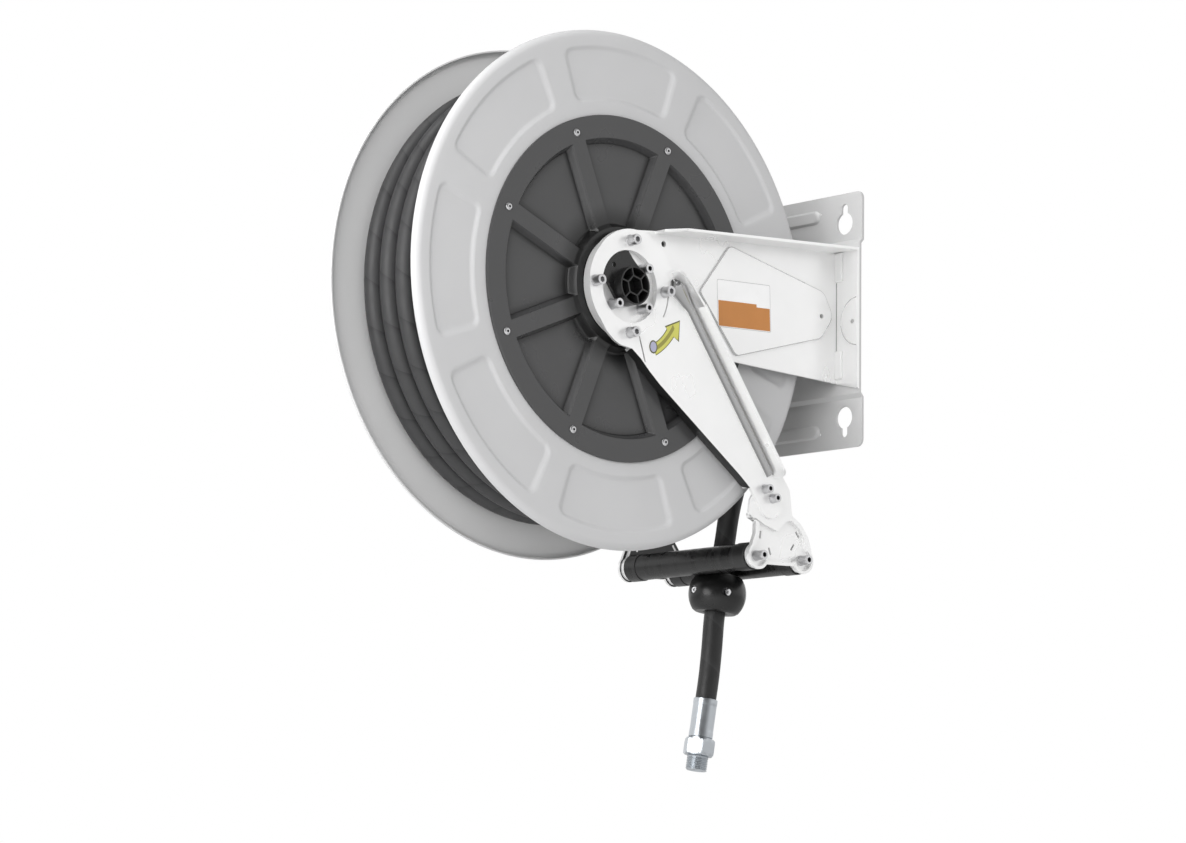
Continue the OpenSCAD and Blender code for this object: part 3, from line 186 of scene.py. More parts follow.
# %% Floor
floor_z, floor_half, floor_grey, floor_glow = -1.0, 30.0, 0.74, 0.42
floor_mesh = bpy.data.meshes.new("floor")
floor_mesh.from_pydata([(x * floor_half, y * floor_half, floor_z)
                        for x, y in ((-1, -1), (1, -1), (1, 1), (-1, 1))], [], [(0, 1, 2, 3)])
floor = bpy.data.objects.new("floor", floor_mesh)
bpy.context.scene.collection.objects.link(floor)
floor_paint = bpy.data.materials.new("pale_floor")
floor_paint.use_nodes = True
floor_tree = floor_paint.node_tree
floor_shader = floor_tree.nodes["Principled BSDF"].inputs
floor_shader["Base Color"].default_value = (floor_grey, floor_grey, floor_grey, 1)
floor_shader["Roughness"].default_value = 0.8
floor_shader["Emission Color"].default_value = (1, 1, 1, 1)
to_the_eye = floor_tree.nodes.new("ShaderNodeLightPath").outputs["Is Camera Ray"]
floor_tree.links.new(maths(floor_tree, "MULTIPLY", to_the_eye, floor_glow),
                     floor_shader["Emission Strength"])
floor.data.materials.append(floor_paint)
print("floor:", 2 * floor_half, "m wide, at", floor_z, "m")

# %% [markdown]
# ## Helpers for surfaces
# Every new piece is a grid of points worked out as one array, and its quads join neighbours.
# Two kinds of grid recur: a bar, which closes on itself across and has a flat face at each end,
# and a ring, which closes on itself both ways. A closed surface encloses a positive volume when
# its faces point outwards, so the sign of that volume tells whether they have to be turned.


# %% Faces of grids
def grid_faces(rows, cols, wrap_rows=False, wrap_cols=False):
    """Quads of a rows x cols grid, whose last line may join its first."""
    at = np.arange(rows * cols).reshape(rows, cols)
    if wrap_rows:
        at = np.vstack([at, at[:1]])
    if wrap_cols:
        at = np.hstack([at, at[:, :1]])
    return np.stack([at[:-1, :-1], at[1:, :-1], at[1:, 1:], at[:-1, 1:]], -1).reshape(-1, 4)


def bar_faces(rows, cols):
    """Quads that close across, and both ends: the last end runs backwards, to face away."""
    return [*grid_faces(rows, cols, wrap_cols=True).tolist(), list(range(cols)),
            list(range((rows - 1) * cols, rows * cols))[::-1]]


def enclosed(co, faces):
    """Six times the volume inside: the sum of v0 . (v1 x v2) over each face's fan."""
    total = 0.0
    for count in {len(f) for f in faces}:
        ring = co[np.array([f for f in faces if len(f) == count])]
        for i in range(1, count - 1):
            total += np.einsum("ij,ij->", ring[:, 0], np.cross(ring[:, i], ring[:, i + 1]))
    return total


# %% Meshes
def mesh_piece(name, co, faces, material, crease=35, uv=None):
    """Object at the origin from points and faces, smooth but for edges sharper than crease."""
    co = np.asarray(co, float).reshape(-1, 3)
    faces = [list(f) for f in faces]
    if enclosed(co, faces) < 0:
        faces = [f[::-1] for f in faces]
        uv = None if uv is None else [f[::-1] for f in uv]
    mesh = bpy.data.meshes.new(name)
    mesh.from_pydata(co.tolist(), [], faces)
    if uv is not None:
        layer = mesh.uv_layers.new(name="along_around")
        layer.data.foreach_set("uv", np.array([c for f in uv for c in f], np.float32).ravel())
    mesh.shade_smooth()
    mesh.set_sharp_from_angle(angle=math.radians(crease))
    mesh.materials.append(material)
    piece = bpy.data.objects.new(name, mesh)
    bpy.context.scene.collection.objects.link(piece)
    return piece


def bar_piece(name, co, material, crease):
    """Piece from a grid of points that closes across."""
    return mesh_piece(name, co, bar_faces(*co.shape[:2]), material, crease)


def ring_piece(name, co, material, crease):
    """Piece from a grid of points that closes both ways."""
    faces = grid_faces(*co.shape[:2], wrap_rows=True, wrap_cols=True)
    return mesh_piece(name, co, faces, material, crease)


def settle(piece, body, slot, *nodes):
    """Puts a piece on its body and lets it stand for its CAD nodes; the slot is not used."""
    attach(piece, body)
    if nodes:
        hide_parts(*nodes)
    return piece


# %% Curves and places
def smooth(t):
    """Smooth step: 3 t^2 - 2 t^3 between 0 and 1."""
    t = np.clip(t, 0, 1)
    return t * t * (3 - 2 * t)


def unit(v):
    """Vectors divided by their lengths."""
    return v / np.linalg.norm(v, axis=-1, keepdims=True)


def distances(path):
    """Distance from a path's start to each of its points, along it."""
    return np.concatenate([[0], np.cumsum(np.linalg.norm(np.diff(path, axis=0), axis=1))])


def around_x(radius, angle, x):
    """Point at a radius and an angle about the drum's axle, and at x along it."""
    radius, angle, x = np.broadcast_arrays(radius, angle, x)
    return drum_at + np.stack([x, radius * np.cos(angle), radius * np.sin(angle)], -1)


def on_arm(places, x, side):
    """Points from [back, up] about the axle, in millimetres, at a distance from the middle."""
    x = np.broadcast_to(x, places.shape[:-1]) * mm * outwards[side]
    return np.stack([x, frame_at[1] + places[..., 0] * mm, frame_at[2] + places[..., 1] * mm], -1)


# %% [markdown]
# ## Helpers for finishes
# A finish is one shader with a little of everything: a base colour that drifts, a roughness that
# drifts, and a fine relief. All of it reads Object coordinates, in metres, so that the grain has
# the same size on every piece and moves with it.


# %% One finish
given = len(bpy.data.materials)


class Finish:
    """Node tree of one material, with short ways to add what the finishes here share."""

    def __init__(self, name):
        self.material = bpy.data.materials.new(name)
        self.material.use_nodes = True
        self.tree = self.material.node_tree
        self.shader = self.tree.nodes["Principled BSDF"]
        self.place = self.tree.nodes.new("ShaderNodeTexCoord").outputs["Object"]
        self.normal = None

    def stretched(self, scale, place=None):
        """Coordinates multiplied by a scale on each axis: a small number draws a pattern out."""
        node = self.tree.nodes.new("ShaderNodeMapping")
        node.inputs["Scale"].default_value = scale
        self.tree.links.new(place or self.place, node.inputs["Vector"])
        return node.outputs[0]

    def noise(self, scale, detail=2.0, place=None):
        """Noise with so many waves to a metre."""
        node = self.tree.nodes.new("ShaderNodeTexNoise")
        node.inputs["Scale"].default_value = scale
        node.inputs["Detail"].default_value = detail
        self.tree.links.new(place or self.place, node.inputs["Vector"])
        return node.outputs["Fac"]

    def ramp(self, value, low, high):
        """Maps a noise, which stays mostly between 0.3 and 0.7, to low .. high."""
        return ranged(self.tree, value, 0.3, 0.7, low, high)

    def mix(self, factor, first, second):
        """Blend of two colours, each a tuple or another node's output."""
        node = self.tree.nodes.new("ShaderNodeMix")
        node.data_type = "RGBA"
        self.tree.links.new(factor, node.inputs["Factor"])
        for socket, value in (("A", first), ("B", second)):
            target = next(i for i in node.inputs if i.name == socket and i.type == "RGBA")
            if isinstance(value, tuple):
                target.default_value = (*value, 1)
            else:
                self.tree.links.new(value, target)
        return next(o for o in node.outputs if o.type == "RGBA")

    def link(self, value, name):
        """Leads a value into one of the shader's inputs."""
        self.tree.links.new(value, self.shader.inputs[name])

    def drift(self, colour, share, scale=14):
        """Base colour that drifts by a share round its value."""
        low = tuple(c * (1 - share) for c in colour)
        high = tuple(min(1, c * (1 + share)) for c in colour)
        self.link(self.mix(self.ramp(self.noise(scale, 4), 0, 1), low, high), "Base Color")

    def rough(self, low, high, scale=40):
        """Roughness that drifts between two values."""
        self.link(self.ramp(self.noise(scale, 3), low, high), "Roughness")

    def relief(self, height, depth, strength=0.5):
        """Adds a bump of a depth in metres, on top of any before it."""
        node = self.tree.nodes.new("ShaderNodeBump")
        node.inputs["Strength"].default_value = strength
        node.inputs["Distance"].default_value = depth
        self.tree.links.new(height, node.inputs["Height"])
        if self.normal is not None:
            self.tree.links.new(self.normal, node.inputs["Normal"])
        self.normal = node.outputs[0]
        self.link(self.normal, "Normal")


# %% [markdown]
# ## Metals, paints and plastics
# Zinc-plated sheet is part mirror and part chalk, so its metallic share lies between 0 and 1.
# Paint shows orange peel, moulded plastic its spark-eroded grain, and turned metal its tool
# marks. Each kind is a function, and each use of it is one line with its colour and sheen.


# %% Metals
def zinc_sheet(name, colour, low, high, metallic):
    """Zinc on rolled sheet: part mirror, part chalky, with faint rolling lines and clouds."""
    f = Finish(name)
    f.shader.inputs["Metallic"].default_value = metallic
    f.drift(colour, 0.03, 9)
    f.rough(low, high, 16)
    f.relief(f.noise(1.0, 2, f.stretched((30, 240, 240))), 0.00001, 0.3)
    f.relief(f.noise(1600, 2), 0.000012, 0.2)
    return f.material


def turned(name, colour, low, high):
    """Turned or plated metal: fine tool marks across the axle and a drifting sheen."""
    f = Finish(name)
    f.shader.inputs["Metallic"].default_value = 1.0
    f.drift(colour, 0.05, 30)
    f.rough(low, high, 60)
    f.relief(f.noise(1.0, 2, f.stretched((2600, 300, 300))), 0.00003, 0.3)
    return f.material


arm_zinc = zinc_sheet("arm_zinc", (0.92, 0.92, 0.917), 0.26, 0.34, 0.55)
# a darker copy of the arm's zinc: painted shade along the folds
shaded_bend_zinc = zinc_sheet("shaded_bend_zinc", (0.42, 0.42, 0.42), 0.07, 0.11, 1.0)
# a darker copy of the arm's zinc: painted shade lines round the pads and the boss
shaded_line_zinc = zinc_sheet("shaded_line_zinc", (0.62, 0.62, 0.62), 0.20, 0.30, 0.6)
# a near-black copy of the arm's zinc: a painted shadow along the seam
shadow_seam_zinc = zinc_sheet("shadow_seam_zinc", (0.24, 0.24, 0.24), 0.30, 0.40, 0.6)
plate_grey = zinc_sheet("plate_grey", (0.56, 0.56, 0.56), 0.40, 0.52, 0.15)
screw_zinc = turned("screw_zinc", (0.66, 0.66, 0.67), 0.26, 0.40)
shaft_steel = turned("shaft_steel", (0.56, 0.56, 0.57), 0.28, 0.42)
spring_blue = turned("spring_blue", (0.16, 0.19, 0.26), 0.30, 0.45)
cast_brass = turned("cast_brass", (0.72, 0.52, 0.24), 0.30, 0.45)
fitting_zinc = turned("fitting_zinc", (0.54, 0.57, 0.60), 0.28, 0.38)
print("metals:", len(bpy.data.materials) - given)


# %% Paints and plastics
def paint(name, colour, low, high):
    """Sprayed paint: an even colour with a soft sheen and the small waves of orange peel."""
    f = Finish(name)
    f.drift(colour, 0.025, 7)
    f.rough(low, high, 30)
    f.relief(f.noise(420, 2), 0.00006, 0.4)
    return f.material


def moulded(name, colour, low, high, grain=1400, depth=0.00008):
    """Moulded plastic: spark-eroded grain, and a sheen that flows with the mould."""
    f = Finish(name)
    f.drift(colour, 0.08, 12)
    f.rough(low, high, 22)
    f.relief(f.noise(grain, 2), depth, 0.5)
    return f.material


def shaded_plastic(name, open_colour, shade_colour):
    """Moulded plastic, darker where the piece's own shade value rises: painted shade in its corners, along its
    walls' brows and round its hub."""
    f = Finish(name)
    hollow = f.tree.nodes.new("ShaderNodeAttribute")
    hollow.attribute_name = "hollow"
    f.link(f.mix(hollow.outputs["Fac"], open_colour, shade_colour), "Base Color")
    f.rough(0.26, 0.34, 22)
    f.relief(f.noise(1400, 2), 0.00008, 0.4)
    return f.material


def roller_plastic(name, colour, low, high):
    """Black tube that the hose rubs: rings of duller and shinier plastic round its axle."""
    f = Finish(name)
    rings = f.noise(1.0, 3, f.stretched((120, 5, 5)))
    dull, shiny = (tuple(c * share for c in colour) for share in (0.5, 1.6))
    f.link(f.mix(f.ramp(rings, 0, 1), dull, shiny), "Base Color")
    f.link(f.ramp(rings, low, high), "Roughness")
    f.relief(rings, 0.00004, 0.3)
    return f.material


disc_paint = paint("disc_paint", (0.54, 0.54, 0.545), 0.40, 0.50)
# a lighter copy of the disc paint: painted light on the far disc's shaded inner face
far_disc_painted_light = paint("far_disc_painted_light", (0.68, 0.68, 0.68), 0.40, 0.50)
cover_plastic = shaded_plastic("cover_plastic", (0.056, 0.056, 0.057), (0.006, 0.006, 0.006))
black_plastic = moulded("black_plastic", (0.010, 0.010, 0.010), 0.26, 0.38, 900, 0.00004)
ball_plastic = moulded("ball_plastic", (0.006, 0.006, 0.006), 0.26, 0.34, 900, 0.00003)
# painted shade for the depths of the screws' sockets
socket_shade = moulded("socket_shade", (0.012, 0.012, 0.013), 0.45, 0.6)
seal_rubber = moulded("seal_rubber", (0.02, 0.02, 0.02), 0.5, 0.65)
rubbed_black = roller_plastic("rubbed_black", (0.012, 0.012, 0.012), 0.20, 0.42)
print("with paints and plastics:", len(bpy.data.materials) - given)

# %% Finishes of the CAD nodes
slot_finish = {"arm_steel": arm_zinc, "plate_paint": plate_grey, "disc_paint": disc_paint,
               "cover_plastic": cover_plastic, "black_plastic": black_plastic,
               "screw_zinc": screw_zinc, "shaft_steel": shaft_steel,
               "spring_steel": spring_blue, "brass": cast_brass, "seal_rubber": seal_rubber,
               "fitting_zinc": fitting_zinc}
for node, piece in frame["nodes"].items():
    piece.data.materials.clear()
    piece.data.materials.append(slot_finish.get(slot_of[node], seal_rubber))
print("nodes with a finish:", len(frame["nodes"]))

# %% [markdown]
# ## Hose rubber
# The hose is cured in a wrapping of cloth tape. The tape leaves a faint weave, and a slanted seam
# of another shade wherever one turn of it ends on the next. A pattern on Object coordinates would
# cut straight through the tube, so this one reads the tube's own map: metres along it, and turns
# around it. The wound hose is greyed by handling, and its seams are dark; the free end is blacker,
# and its seams are pale.


# %% Hose finish
def hose_finish(name, rubber, seam):
    """Wrap marks: a wave along the hose that slants by one tape width for each turn round it,
    raised to a power that leaves a narrow seam."""
    tape, narrow, seam_share = 0.047, 12, 0.8
    f = Finish(name)
    uv = f.tree.nodes.new("ShaderNodeUVMap")
    uv.uv_map = "along_around"
    split = f.tree.nodes.new("ShaderNodeSeparateXYZ")
    f.tree.links.new(uv.outputs[0], split.inputs[0])

    wraps = maths(f.tree, "ADD", maths(f.tree, "MULTIPLY", split.outputs[0], 1 / tape),
                  split.outputs[1])
    step = maths(f.tree, "POWER", maths(f.tree, "FRACT", wraps), narrow)
    weave = f.stretched((2200, 70, 1), uv.outputs[0])
    f.link(f.mix(maths(f.tree, "MULTIPLY", step, seam_share), rubber, seam), "Base Color")
    f.rough(0.42, 0.58, 60)
    f.relief(step, 0.00015, 0.5)
    f.relief(f.noise(1.0, 2, weave), 0.00008, 0.45)
    return f.material


hose_rubber = hose_finish("hose_rubber", (0.034, 0.034, 0.035), (0.014, 0.014, 0.015))
clean_rubber = hose_finish("clean_rubber", (0.014, 0.014, 0.014), (0.030, 0.030, 0.031))
print("with hose rubbers:", len(bpy.data.materials) - given)

# %% [markdown]
# ## The hose
# One hose runs from the inner layers through the outer layer and the last turn, and then hangs
# down between the rollers to its ball stop and its end fitting. Each stretch is a circle carried
# along a path. The free stretch follows its route's points on a smooth curve.

# %% Hose sizes
hose_r = 11.2 * mm
wind_r = 224 * mm
turn_pitch = 25 * mm
first_lane, turns = -2 * turn_pitch, 4
last_lane = first_lane + turns * turn_pitch
dive = 24 * mm
route = np.array([[67, -90, -25], [67, -90, -45], [66, -90, -70], [62, -90, -95],
                  [54, -90, -120], [43, -90, -150], [31, -90, -180], [20, -89, -210],
                  [12, -87.5, -240], [6, -88, -268], [4.5, -91, -296], [3, -94.2, -325],
                  [2, -96.2, -355], [1, -98.8, -383], [0, -102.5, -409]]) * mm
print("hose:", round(2 * hose_r / mm, 1), "mm thick,", turns, "turns in the outer layer")


# %% Tubes
def smooth_path(points, steps):
    """Catmull-Rom curve: between two points it follows their neighbours' directions."""
    p = np.vstack([2 * points[0] - points[1], points, 2 * points[-1] - points[-2]])
    t = (np.arange(steps) / steps)[:, None]
    spans = [0.5 * (2 * b + (c - a) * t + (2 * a - 5 * b + 4 * c - d) * t ** 2
                    + (3 * b - a - 3 * c + d) * t ** 3)
             for a, b, c, d in zip(p[:-3], p[1:-2], p[2:-1], p[3:])]
    return np.vstack([*spans, points[-1:]])


def tube(name, path, reference, radius, sides, material):
    """Circle carried along a path: p + r (cos t) u + r (sin t) (d x u), where d is the path's
    direction and u the part of the reference across it. Its map: metres along, turns round."""
    d = unit(np.gradient(path, axis=0))
    u = unit(reference - np.einsum("ij,ij->i", reference, d)[:, None] * d)
    t = np.arange(sides) * 2 * np.pi / sides
    ring = np.cos(t)[:, None] * u[:, None] + np.sin(t)[:, None] * np.cross(d, u)[:, None]
    rows, along = len(path), distances(path)
    i, k = np.meshgrid(np.arange(rows - 1), np.arange(sides), indexing="ij")
    uv = np.stack([np.stack([along[i + a], (k + b) / sides], -1)
                   for a, b in ((0, 0), (1, 0), (1, 1), (0, 1))], 2).reshape(-1, 4, 2).tolist()
    uv += [[[0, 0]] * sides, [[along[-1], 0]] * sides]
    return mesh_piece(name, path[:, None] + radius * ring, bar_faces(rows, sides), material, 50,
                      uv)


# %% [markdown]
# ### Free hose
# It leaves the last turn on the wall's side of the drum, crosses to the middle as it passes
# between the rollers, and hangs from there. Its points are those of the CAD solid, so the ball
# stop and the fittings stay on it.

# %% Free hose
free_path = smooth_path(route, 8)
free_hose = tube("hanging_hose", free_path, np.tile([0.0, 1, 0], (len(free_path), 1)), hose_r, 28,
                 clean_rubber)
settle(free_hose, "frame", "hose_rubber", "free_hose")

# %% [markdown]
# ### Outer layer and last turn
# Wound hose doesn't climb like a screw: each turn lies straight, and steps to the next lane over
# a short part of it. Both ends dive under the layer. The last turn lies in a lane of its own and
# stays with the frame, so the drum can turn under it without tearing the hose.

# %% Outer layer
rings = 96                                         # rings of points to a turn
cross_part, dive_part = 1 / 6, 2 / 24              # of a turn
wind_start = math.radians(320)
u = np.arange(-round(rings * dive_part), int(rings * (turns - cross_part)) + 1) / rings
stepped = smooth((u - np.floor(u) - 1 + cross_part) / cross_part)
lane = np.minimum(np.floor(u), turns - 1) + np.where(u < turns - 1, stepped, 0)
layer_r = wind_r - dive * smooth(-u / dive_part) \
    - dive * smooth((u - (turns - cross_part - dive_part)) / dive_part)
turn_angle = wind_start - 2 * np.pi * u
wind_path = around_x(layer_r, turn_angle, first_lane + turn_pitch * np.where(u < 0, 0, lane))
radial = np.stack([0 * u, np.cos(turn_angle), np.sin(turn_angle)], -1)
settle(tube("wound_hose", wind_path, radial, hose_r, 20, hose_rubber),
       "drum", "hose_rubber", "hose_winding")
print("outer layer:", round(float(distances(wind_path)[-1]), 2), "m")

# %% Last turn
step = np.arange(26 * 4, -1, -1) / 4               # steps of 15 degrees, back from the dive
last_r = wind_r - (dive - 1 * mm) * smooth((step - 20) / 3)
last_angle = np.radians(15 * step)
hang = np.array([[0, 0, z] for z in (6, 12, 17, 22)]) * mm
last_path = np.vstack([around_x(last_r, last_angle, last_lane),
                       around_x(wind_r, 0, last_lane) - hang])
last_radial = np.vstack([np.stack([0 * step, np.cos(last_angle), np.sin(last_angle)], -1),
                         np.tile([0.0, 1, 0], (len(hang), 1))])
settle(tube("last_turn", last_path, last_radial, hose_r, 24, hose_rubber),
       "frame", "hose_rubber", "hose_last_turn")
print("last turn:", round(float(distances(last_path)[-1]), 2), "m")

# %% [markdown]
# ### Inner layers
# Under the outer layer the hose fills the drum in close turns. They are glimpsed only through the
# gaps of the outer layer, so two plain helices stand for them, one nested over the other.

# %% Inner layers
core_lo, core_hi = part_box("hose_core")
core_start = core_lo[0] - drum_at[0] + hose_r
core_stop = last_lane - turn_pitch / 2 - hose_r
core_r = 171.5 * mm


def layer(name, radius, pitch=22.9 * mm, phase=0.6):
    """Helix that fills the drum with turns that touch."""
    count = (core_stop - core_start) / pitch
    t = np.linspace(0, 1, int(72 * count))
    angle = 2 * np.pi * count * t + phase
    path = around_x(radius, angle, core_start + (core_stop - core_start) * t)
    reference = np.stack([0 * t, np.cos(angle), np.sin(angle)], -1)
    print(name, round(float(distances(path)[-1]), 2), "m")
    return tube(name, path, reference, hose_r, 14, hose_rubber)


settle(layer("inner_layer", (core_hi[2] - core_lo[2]) / 2 - hose_r),
       "drum", "hose_rubber", "hose_core")
settle(layer("bottom_layer", core_r + hose_r), "drum", "hose_rubber")

# %% [markdown]
# ## Discs
# Each disc is one pressing of thin sheet: a flat ring and a rim that rolls back over the hose.
# Its section is a closed loop of radius and height, swept round the axle. The near disc has eight
# sunk panels: a smooth function of the distance to a sector with rounded corners, taken off the
# height of both faces alike, so the sheet keeps its thickness. The far disc is plain.

# %% Disc shape
disc_r, disc_t, half_w, rim_roll = 270 * mm, 1.5 * mm, 71 * mm, 8 * mm
panel_in, panel_out, panel_half = 194 * mm, 253 * mm, math.radians(18.5)
panel_corner, panel_depth, panel_wall = 11 * mm, 2.5 * mm, 5 * mm
eighth = math.radians(45)
cover_hole = 159 * mm


def panel_sink(r, angle):
    """Depth of the panels: full where the distance into the rounded sector passes the wall."""
    a = np.abs((angle + eighth / 2) % eighth - eighth / 2)
    across = r * (a - panel_half) + panel_corner
    radial = np.abs(r - (panel_in + panel_out) / 2) - (panel_out - panel_in) / 2 + panel_corner
    outside = np.hypot(np.maximum(across, 0), np.maximum(radial, 0))
    distance = outside + np.minimum(np.maximum(across, radial), 0) - panel_corner
    return panel_depth * smooth(-distance / panel_wall)


def disc_section():
    """Radius and height of the face, the rolled rim, and the inner face back to the hole; the
    lines lie closer together where the panels' walls are."""
    flat = np.concatenate([np.linspace(cover_hole, panel_in - mm, 5),
                           np.linspace(panel_in, panel_in + 12 * mm, 10),
                           np.linspace(panel_in + 18 * mm, panel_out - 18 * mm, 4),
                           np.linspace(panel_out - 12 * mm, panel_out + mm, 11),
                           [disc_r - rim_roll - 4 * mm]])
    bend = np.radians(np.linspace(90, 0, 10))
    outer, inner = (np.stack([disc_r - rim_roll + roll * np.cos(bend),
                              half_w - rim_roll + roll * np.sin(bend)], 1)
                    for roll in (rim_roll, rim_roll - disc_t))
    face = np.stack([flat, np.full_like(flat, half_w)], 1)
    return np.vstack([face, outer, inner[::-1], (face - [0, disc_t])[::-1]])


def disc(side):
    """Section swept round the axle, with lines close together at the panels' sides."""
    half = np.concatenate([np.linspace(0, 13, 7), np.linspace(14, 22.5, 14)])
    cell = np.concatenate([-half[:0:-1], half[:-1]])
    angle = np.radians(np.concatenate([cell + 45 * i for i in range(8)]))[None]
    r, x = disc_section().T[..., None]
    if side == "near":
        x = x - panel_sink(r, angle) * (r < disc_r - rim_roll + 0.1 * mm)
    piece = ring_piece(side + "_disc_sheet", around_x(r, angle, x * outwards[side]),
                       disc_paint if side == "near" else far_disc_painted_light, 60)
    return settle(piece, "drum", "disc_paint", side + "_disc")


for side in outwards:
    made = disc(side)
    print(made.name, len(made.data.polygons), "faces")

# %% [markdown]
# ## Hub covers
# The covers are moulded: a flat rim with the screws, eight sunk fields with sloped walls, eight
# spokes between them and a raised hub. The grid's lines run along the spokes' walls, so that
# the walls stay crisp: from the spoke's middle to its edge, down its wall, and over the field.

# %% Cover shape
cover_r, cover_t, field_r, field_depth = 180 * mm, 3 * mm, 156 * mm, 8 * mm
spoke_half, wall, hub_r, hub_rise = 9 * mm, 4.5 * mm, 63 * mm, 2.5 * mm
rim_wall = cover_t + 2 * mm
rim_foot = field_r - rim_wall
cover_out = half_w + cover_t
bush_r = 20.05 * mm


def spoke_grid(r, share):
    """Angle from a spoke's middle for a share of the way to the field's middle, at each radius:
    shares to 0.3 cross the top, to 0.6 the wall, and the rest the field."""
    top = np.arcsin(np.clip(spoke_half / r, 0, 0.9))
    foot = np.arcsin(np.clip((spoke_half + wall) / r, 0, 0.95))
    top, foot = np.minimum(top, eighth / 2 * 0.7), np.minimum(foot, eighth / 2 * 0.9)
    return np.where(share < 0.3, top * share / 0.3,
                    np.where(share < 0.6, top + (foot - top) * (share - 0.3) / 0.3,
                             foot + (eighth / 2 - foot) * (share - 0.6) / 0.4))


def sloped(t):
    """Straight wall from 0 to 1 with a little rounding at its foot and its brow."""
    return 0.7 * np.clip(t, 0, 1) + 0.3 * smooth(t)


def cover_height(r, angle):
    """Height over the sunk fields: the highest of rim, spoke and hub, each with a sloped wall."""
    rim = sloped((r - rim_foot) / rim_wall)
    spoke = 1 - sloped((r * np.sin(np.abs(angle)) - spoke_half) / wall)
    hub = 1 - sloped((r - hub_r) / wall)
    return field_depth * np.maximum(np.maximum(rim, spoke), hub) + hub_rise * hub


# %% Cover shade
# painted shade on the covers: darker at the walls' feet, along their brows and round the hub
shade_out, shade_width = 94 * mm, 28 * mm


def cover_hollow(r, angle):
    """Painted shade: 0.85 at the walls' feet, falling off by e every 3 mm of field; 0.35 along the walls' brows;
    and rising to 1 round the hub."""
    spoke = r * np.sin(np.abs(angle)) - spoke_half - wall
    foot = np.minimum(np.minimum(spoke, rim_foot - r), r - hub_r - wall)
    height = cover_height(r, angle) / field_depth
    corner = 0.85 * np.exp(-np.maximum(foot, 0) / (3 * mm)) * (1 - smooth(height / 0.25))
    brow = 0.35 * np.exp(-((height - 0.93) / 0.05) ** 2)
    hub = smooth((shade_out - r) / shade_width)
    return np.clip(np.maximum(np.maximum(corner, brow), hub), 0, 1)


# %% Covers
def cover(side):
    """Front face by the height above, then the rim's edge and a plain back."""
    radii = np.concatenate([np.linspace(bush_r, hub_r - mm, 7),
                            np.linspace(hub_r, hub_r + 5 * mm, 7),
                            np.linspace(hub_r + 7 * mm, shade_out, 7),
                            np.linspace(99 * mm, field_r - 8 * mm, 12),
                            np.linspace(field_r - 6 * mm, field_r + mm, 10),
                            [cover_r - 12 * mm, cover_r - 0.8 * mm]])[:, None]
    share = np.concatenate([np.linspace(0, 0.28, 4), np.linspace(0.3, 0.6, 9),
                            np.linspace(0.66, 1, 7)])
    half = spoke_grid(radii, share[None])
    offset = np.hstack([-half[:, :0:-1], half[:, :-1]])
    angle = np.hstack([offset + eighth * (i + 0.5) for i in range(8)])
    offset = np.hstack([offset] * 8)
    x = cover_out - field_depth + cover_height(radii, offset)
    front = around_x(radii, angle, x * outwards[side])
    back_r = np.array([cover_r, cover_r, cover_hole - 0.3 * mm, field_r, bush_r])[:, None]
    back_x = np.array([cover_out - 0.8 * mm, half_w, half_w, cover_out - field_depth - cover_t,
                       cover_out - field_depth - cover_t])[:, None]
    behind = around_x(back_r, angle[-1:], back_x * outwards[side])
    piece = ring_piece(side + "_cover_moulding", np.vstack([front, behind]), cover_plastic, 40)
    # the painted shade, kept on the cover's points for its finish
    shade = np.vstack([cover_hollow(radii, offset), np.zeros_like(behind[..., 0])])
    hollow = piece.data.attributes.new("hollow", "FLOAT", "POINT")
    hollow.data.foreach_set("value", shade.ravel().astype(np.float32))
    return settle(piece, "drum", "cover_plastic", side + "_cover")


for side in outwards:
    made = cover(side)
    print(made.name, len(made.data.polygons), "faces")

# %% [markdown]
# ## Sheet parts, turned parts and plastic parts
# The flat and turned parts have the right shape already, but their edges are knife sharp, and a real edge always
# catches the light. A copy of each is merged, its flat faces are joined, and a Bevel rounds every edge that is
# sharper than its limit. Some faces of a copy get a second finish, black as painted shade: the depths of the
# screws' sockets, and the inner faces of the guide plates.


# %% Second finishes
def mesh_numbers(items, field, width=1, kind=float):
    """One field of all of a mesh's points, edges or faces, as an array of a width."""
    numbers = np.empty(len(items) * width, kind)
    items.foreach_get(field, numbers)
    return numbers.reshape(-1, width) if width > 1 else numbers


def give_second(mesh, material, chosen):
    """Puts a second material on the chosen faces."""
    mesh.materials.append(material)
    mesh.polygons.foreach_set("material_index", chosen.astype(np.int32))


def screw_axes(points, edges):
    """Middle across the axle of the solid that each point is in: neighbours share the lower of
    their labels until nothing changes, and a label's middle is halfway across its points."""
    label, last = np.arange(len(points)), None
    while last is None or (label != last).any():
        last = label.copy()
        np.minimum.at(label, edges[:, 0], last[edges[:, 1]])
        np.minimum.at(label, edges[:, 1], last[edges[:, 0]])
    low, high = np.full((len(points), 2), np.inf), np.full((len(points), 2), -np.inf)
    np.minimum.at(low, label, points[:, 1:])
    np.maximum.at(high, label, points[:, 1:])
    return (low[label] + high[label]) / 2


def shade_sockets(mesh, reach):
    """Painted shade: black on the faces whose corners all lie within a reach of their screw's axis."""
    points = mesh_numbers(mesh.vertices, "co", 3)
    axes = screw_axes(points, mesh_numbers(mesh.edges, "vertices", 2, int))
    off_axis = np.linalg.norm(points[:, 1:] - axes, axis=1)
    first = mesh_numbers(mesh.polygons, "loop_start", kind=int)
    corner = mesh_numbers(mesh.loops, "vertex_index", kind=int)
    give_second(mesh, socket_shade, np.maximum.reduceat(off_axis[corner], first) < reach)


def shade_inside(mesh, side):
    """Painted shade: black on the flat faces that look at the middle of the reel."""
    normal = mesh_numbers(mesh.polygons, "normal", 3)
    give_second(mesh, black_plastic, normal[:, 0] * -outwards[side] > 0.99)


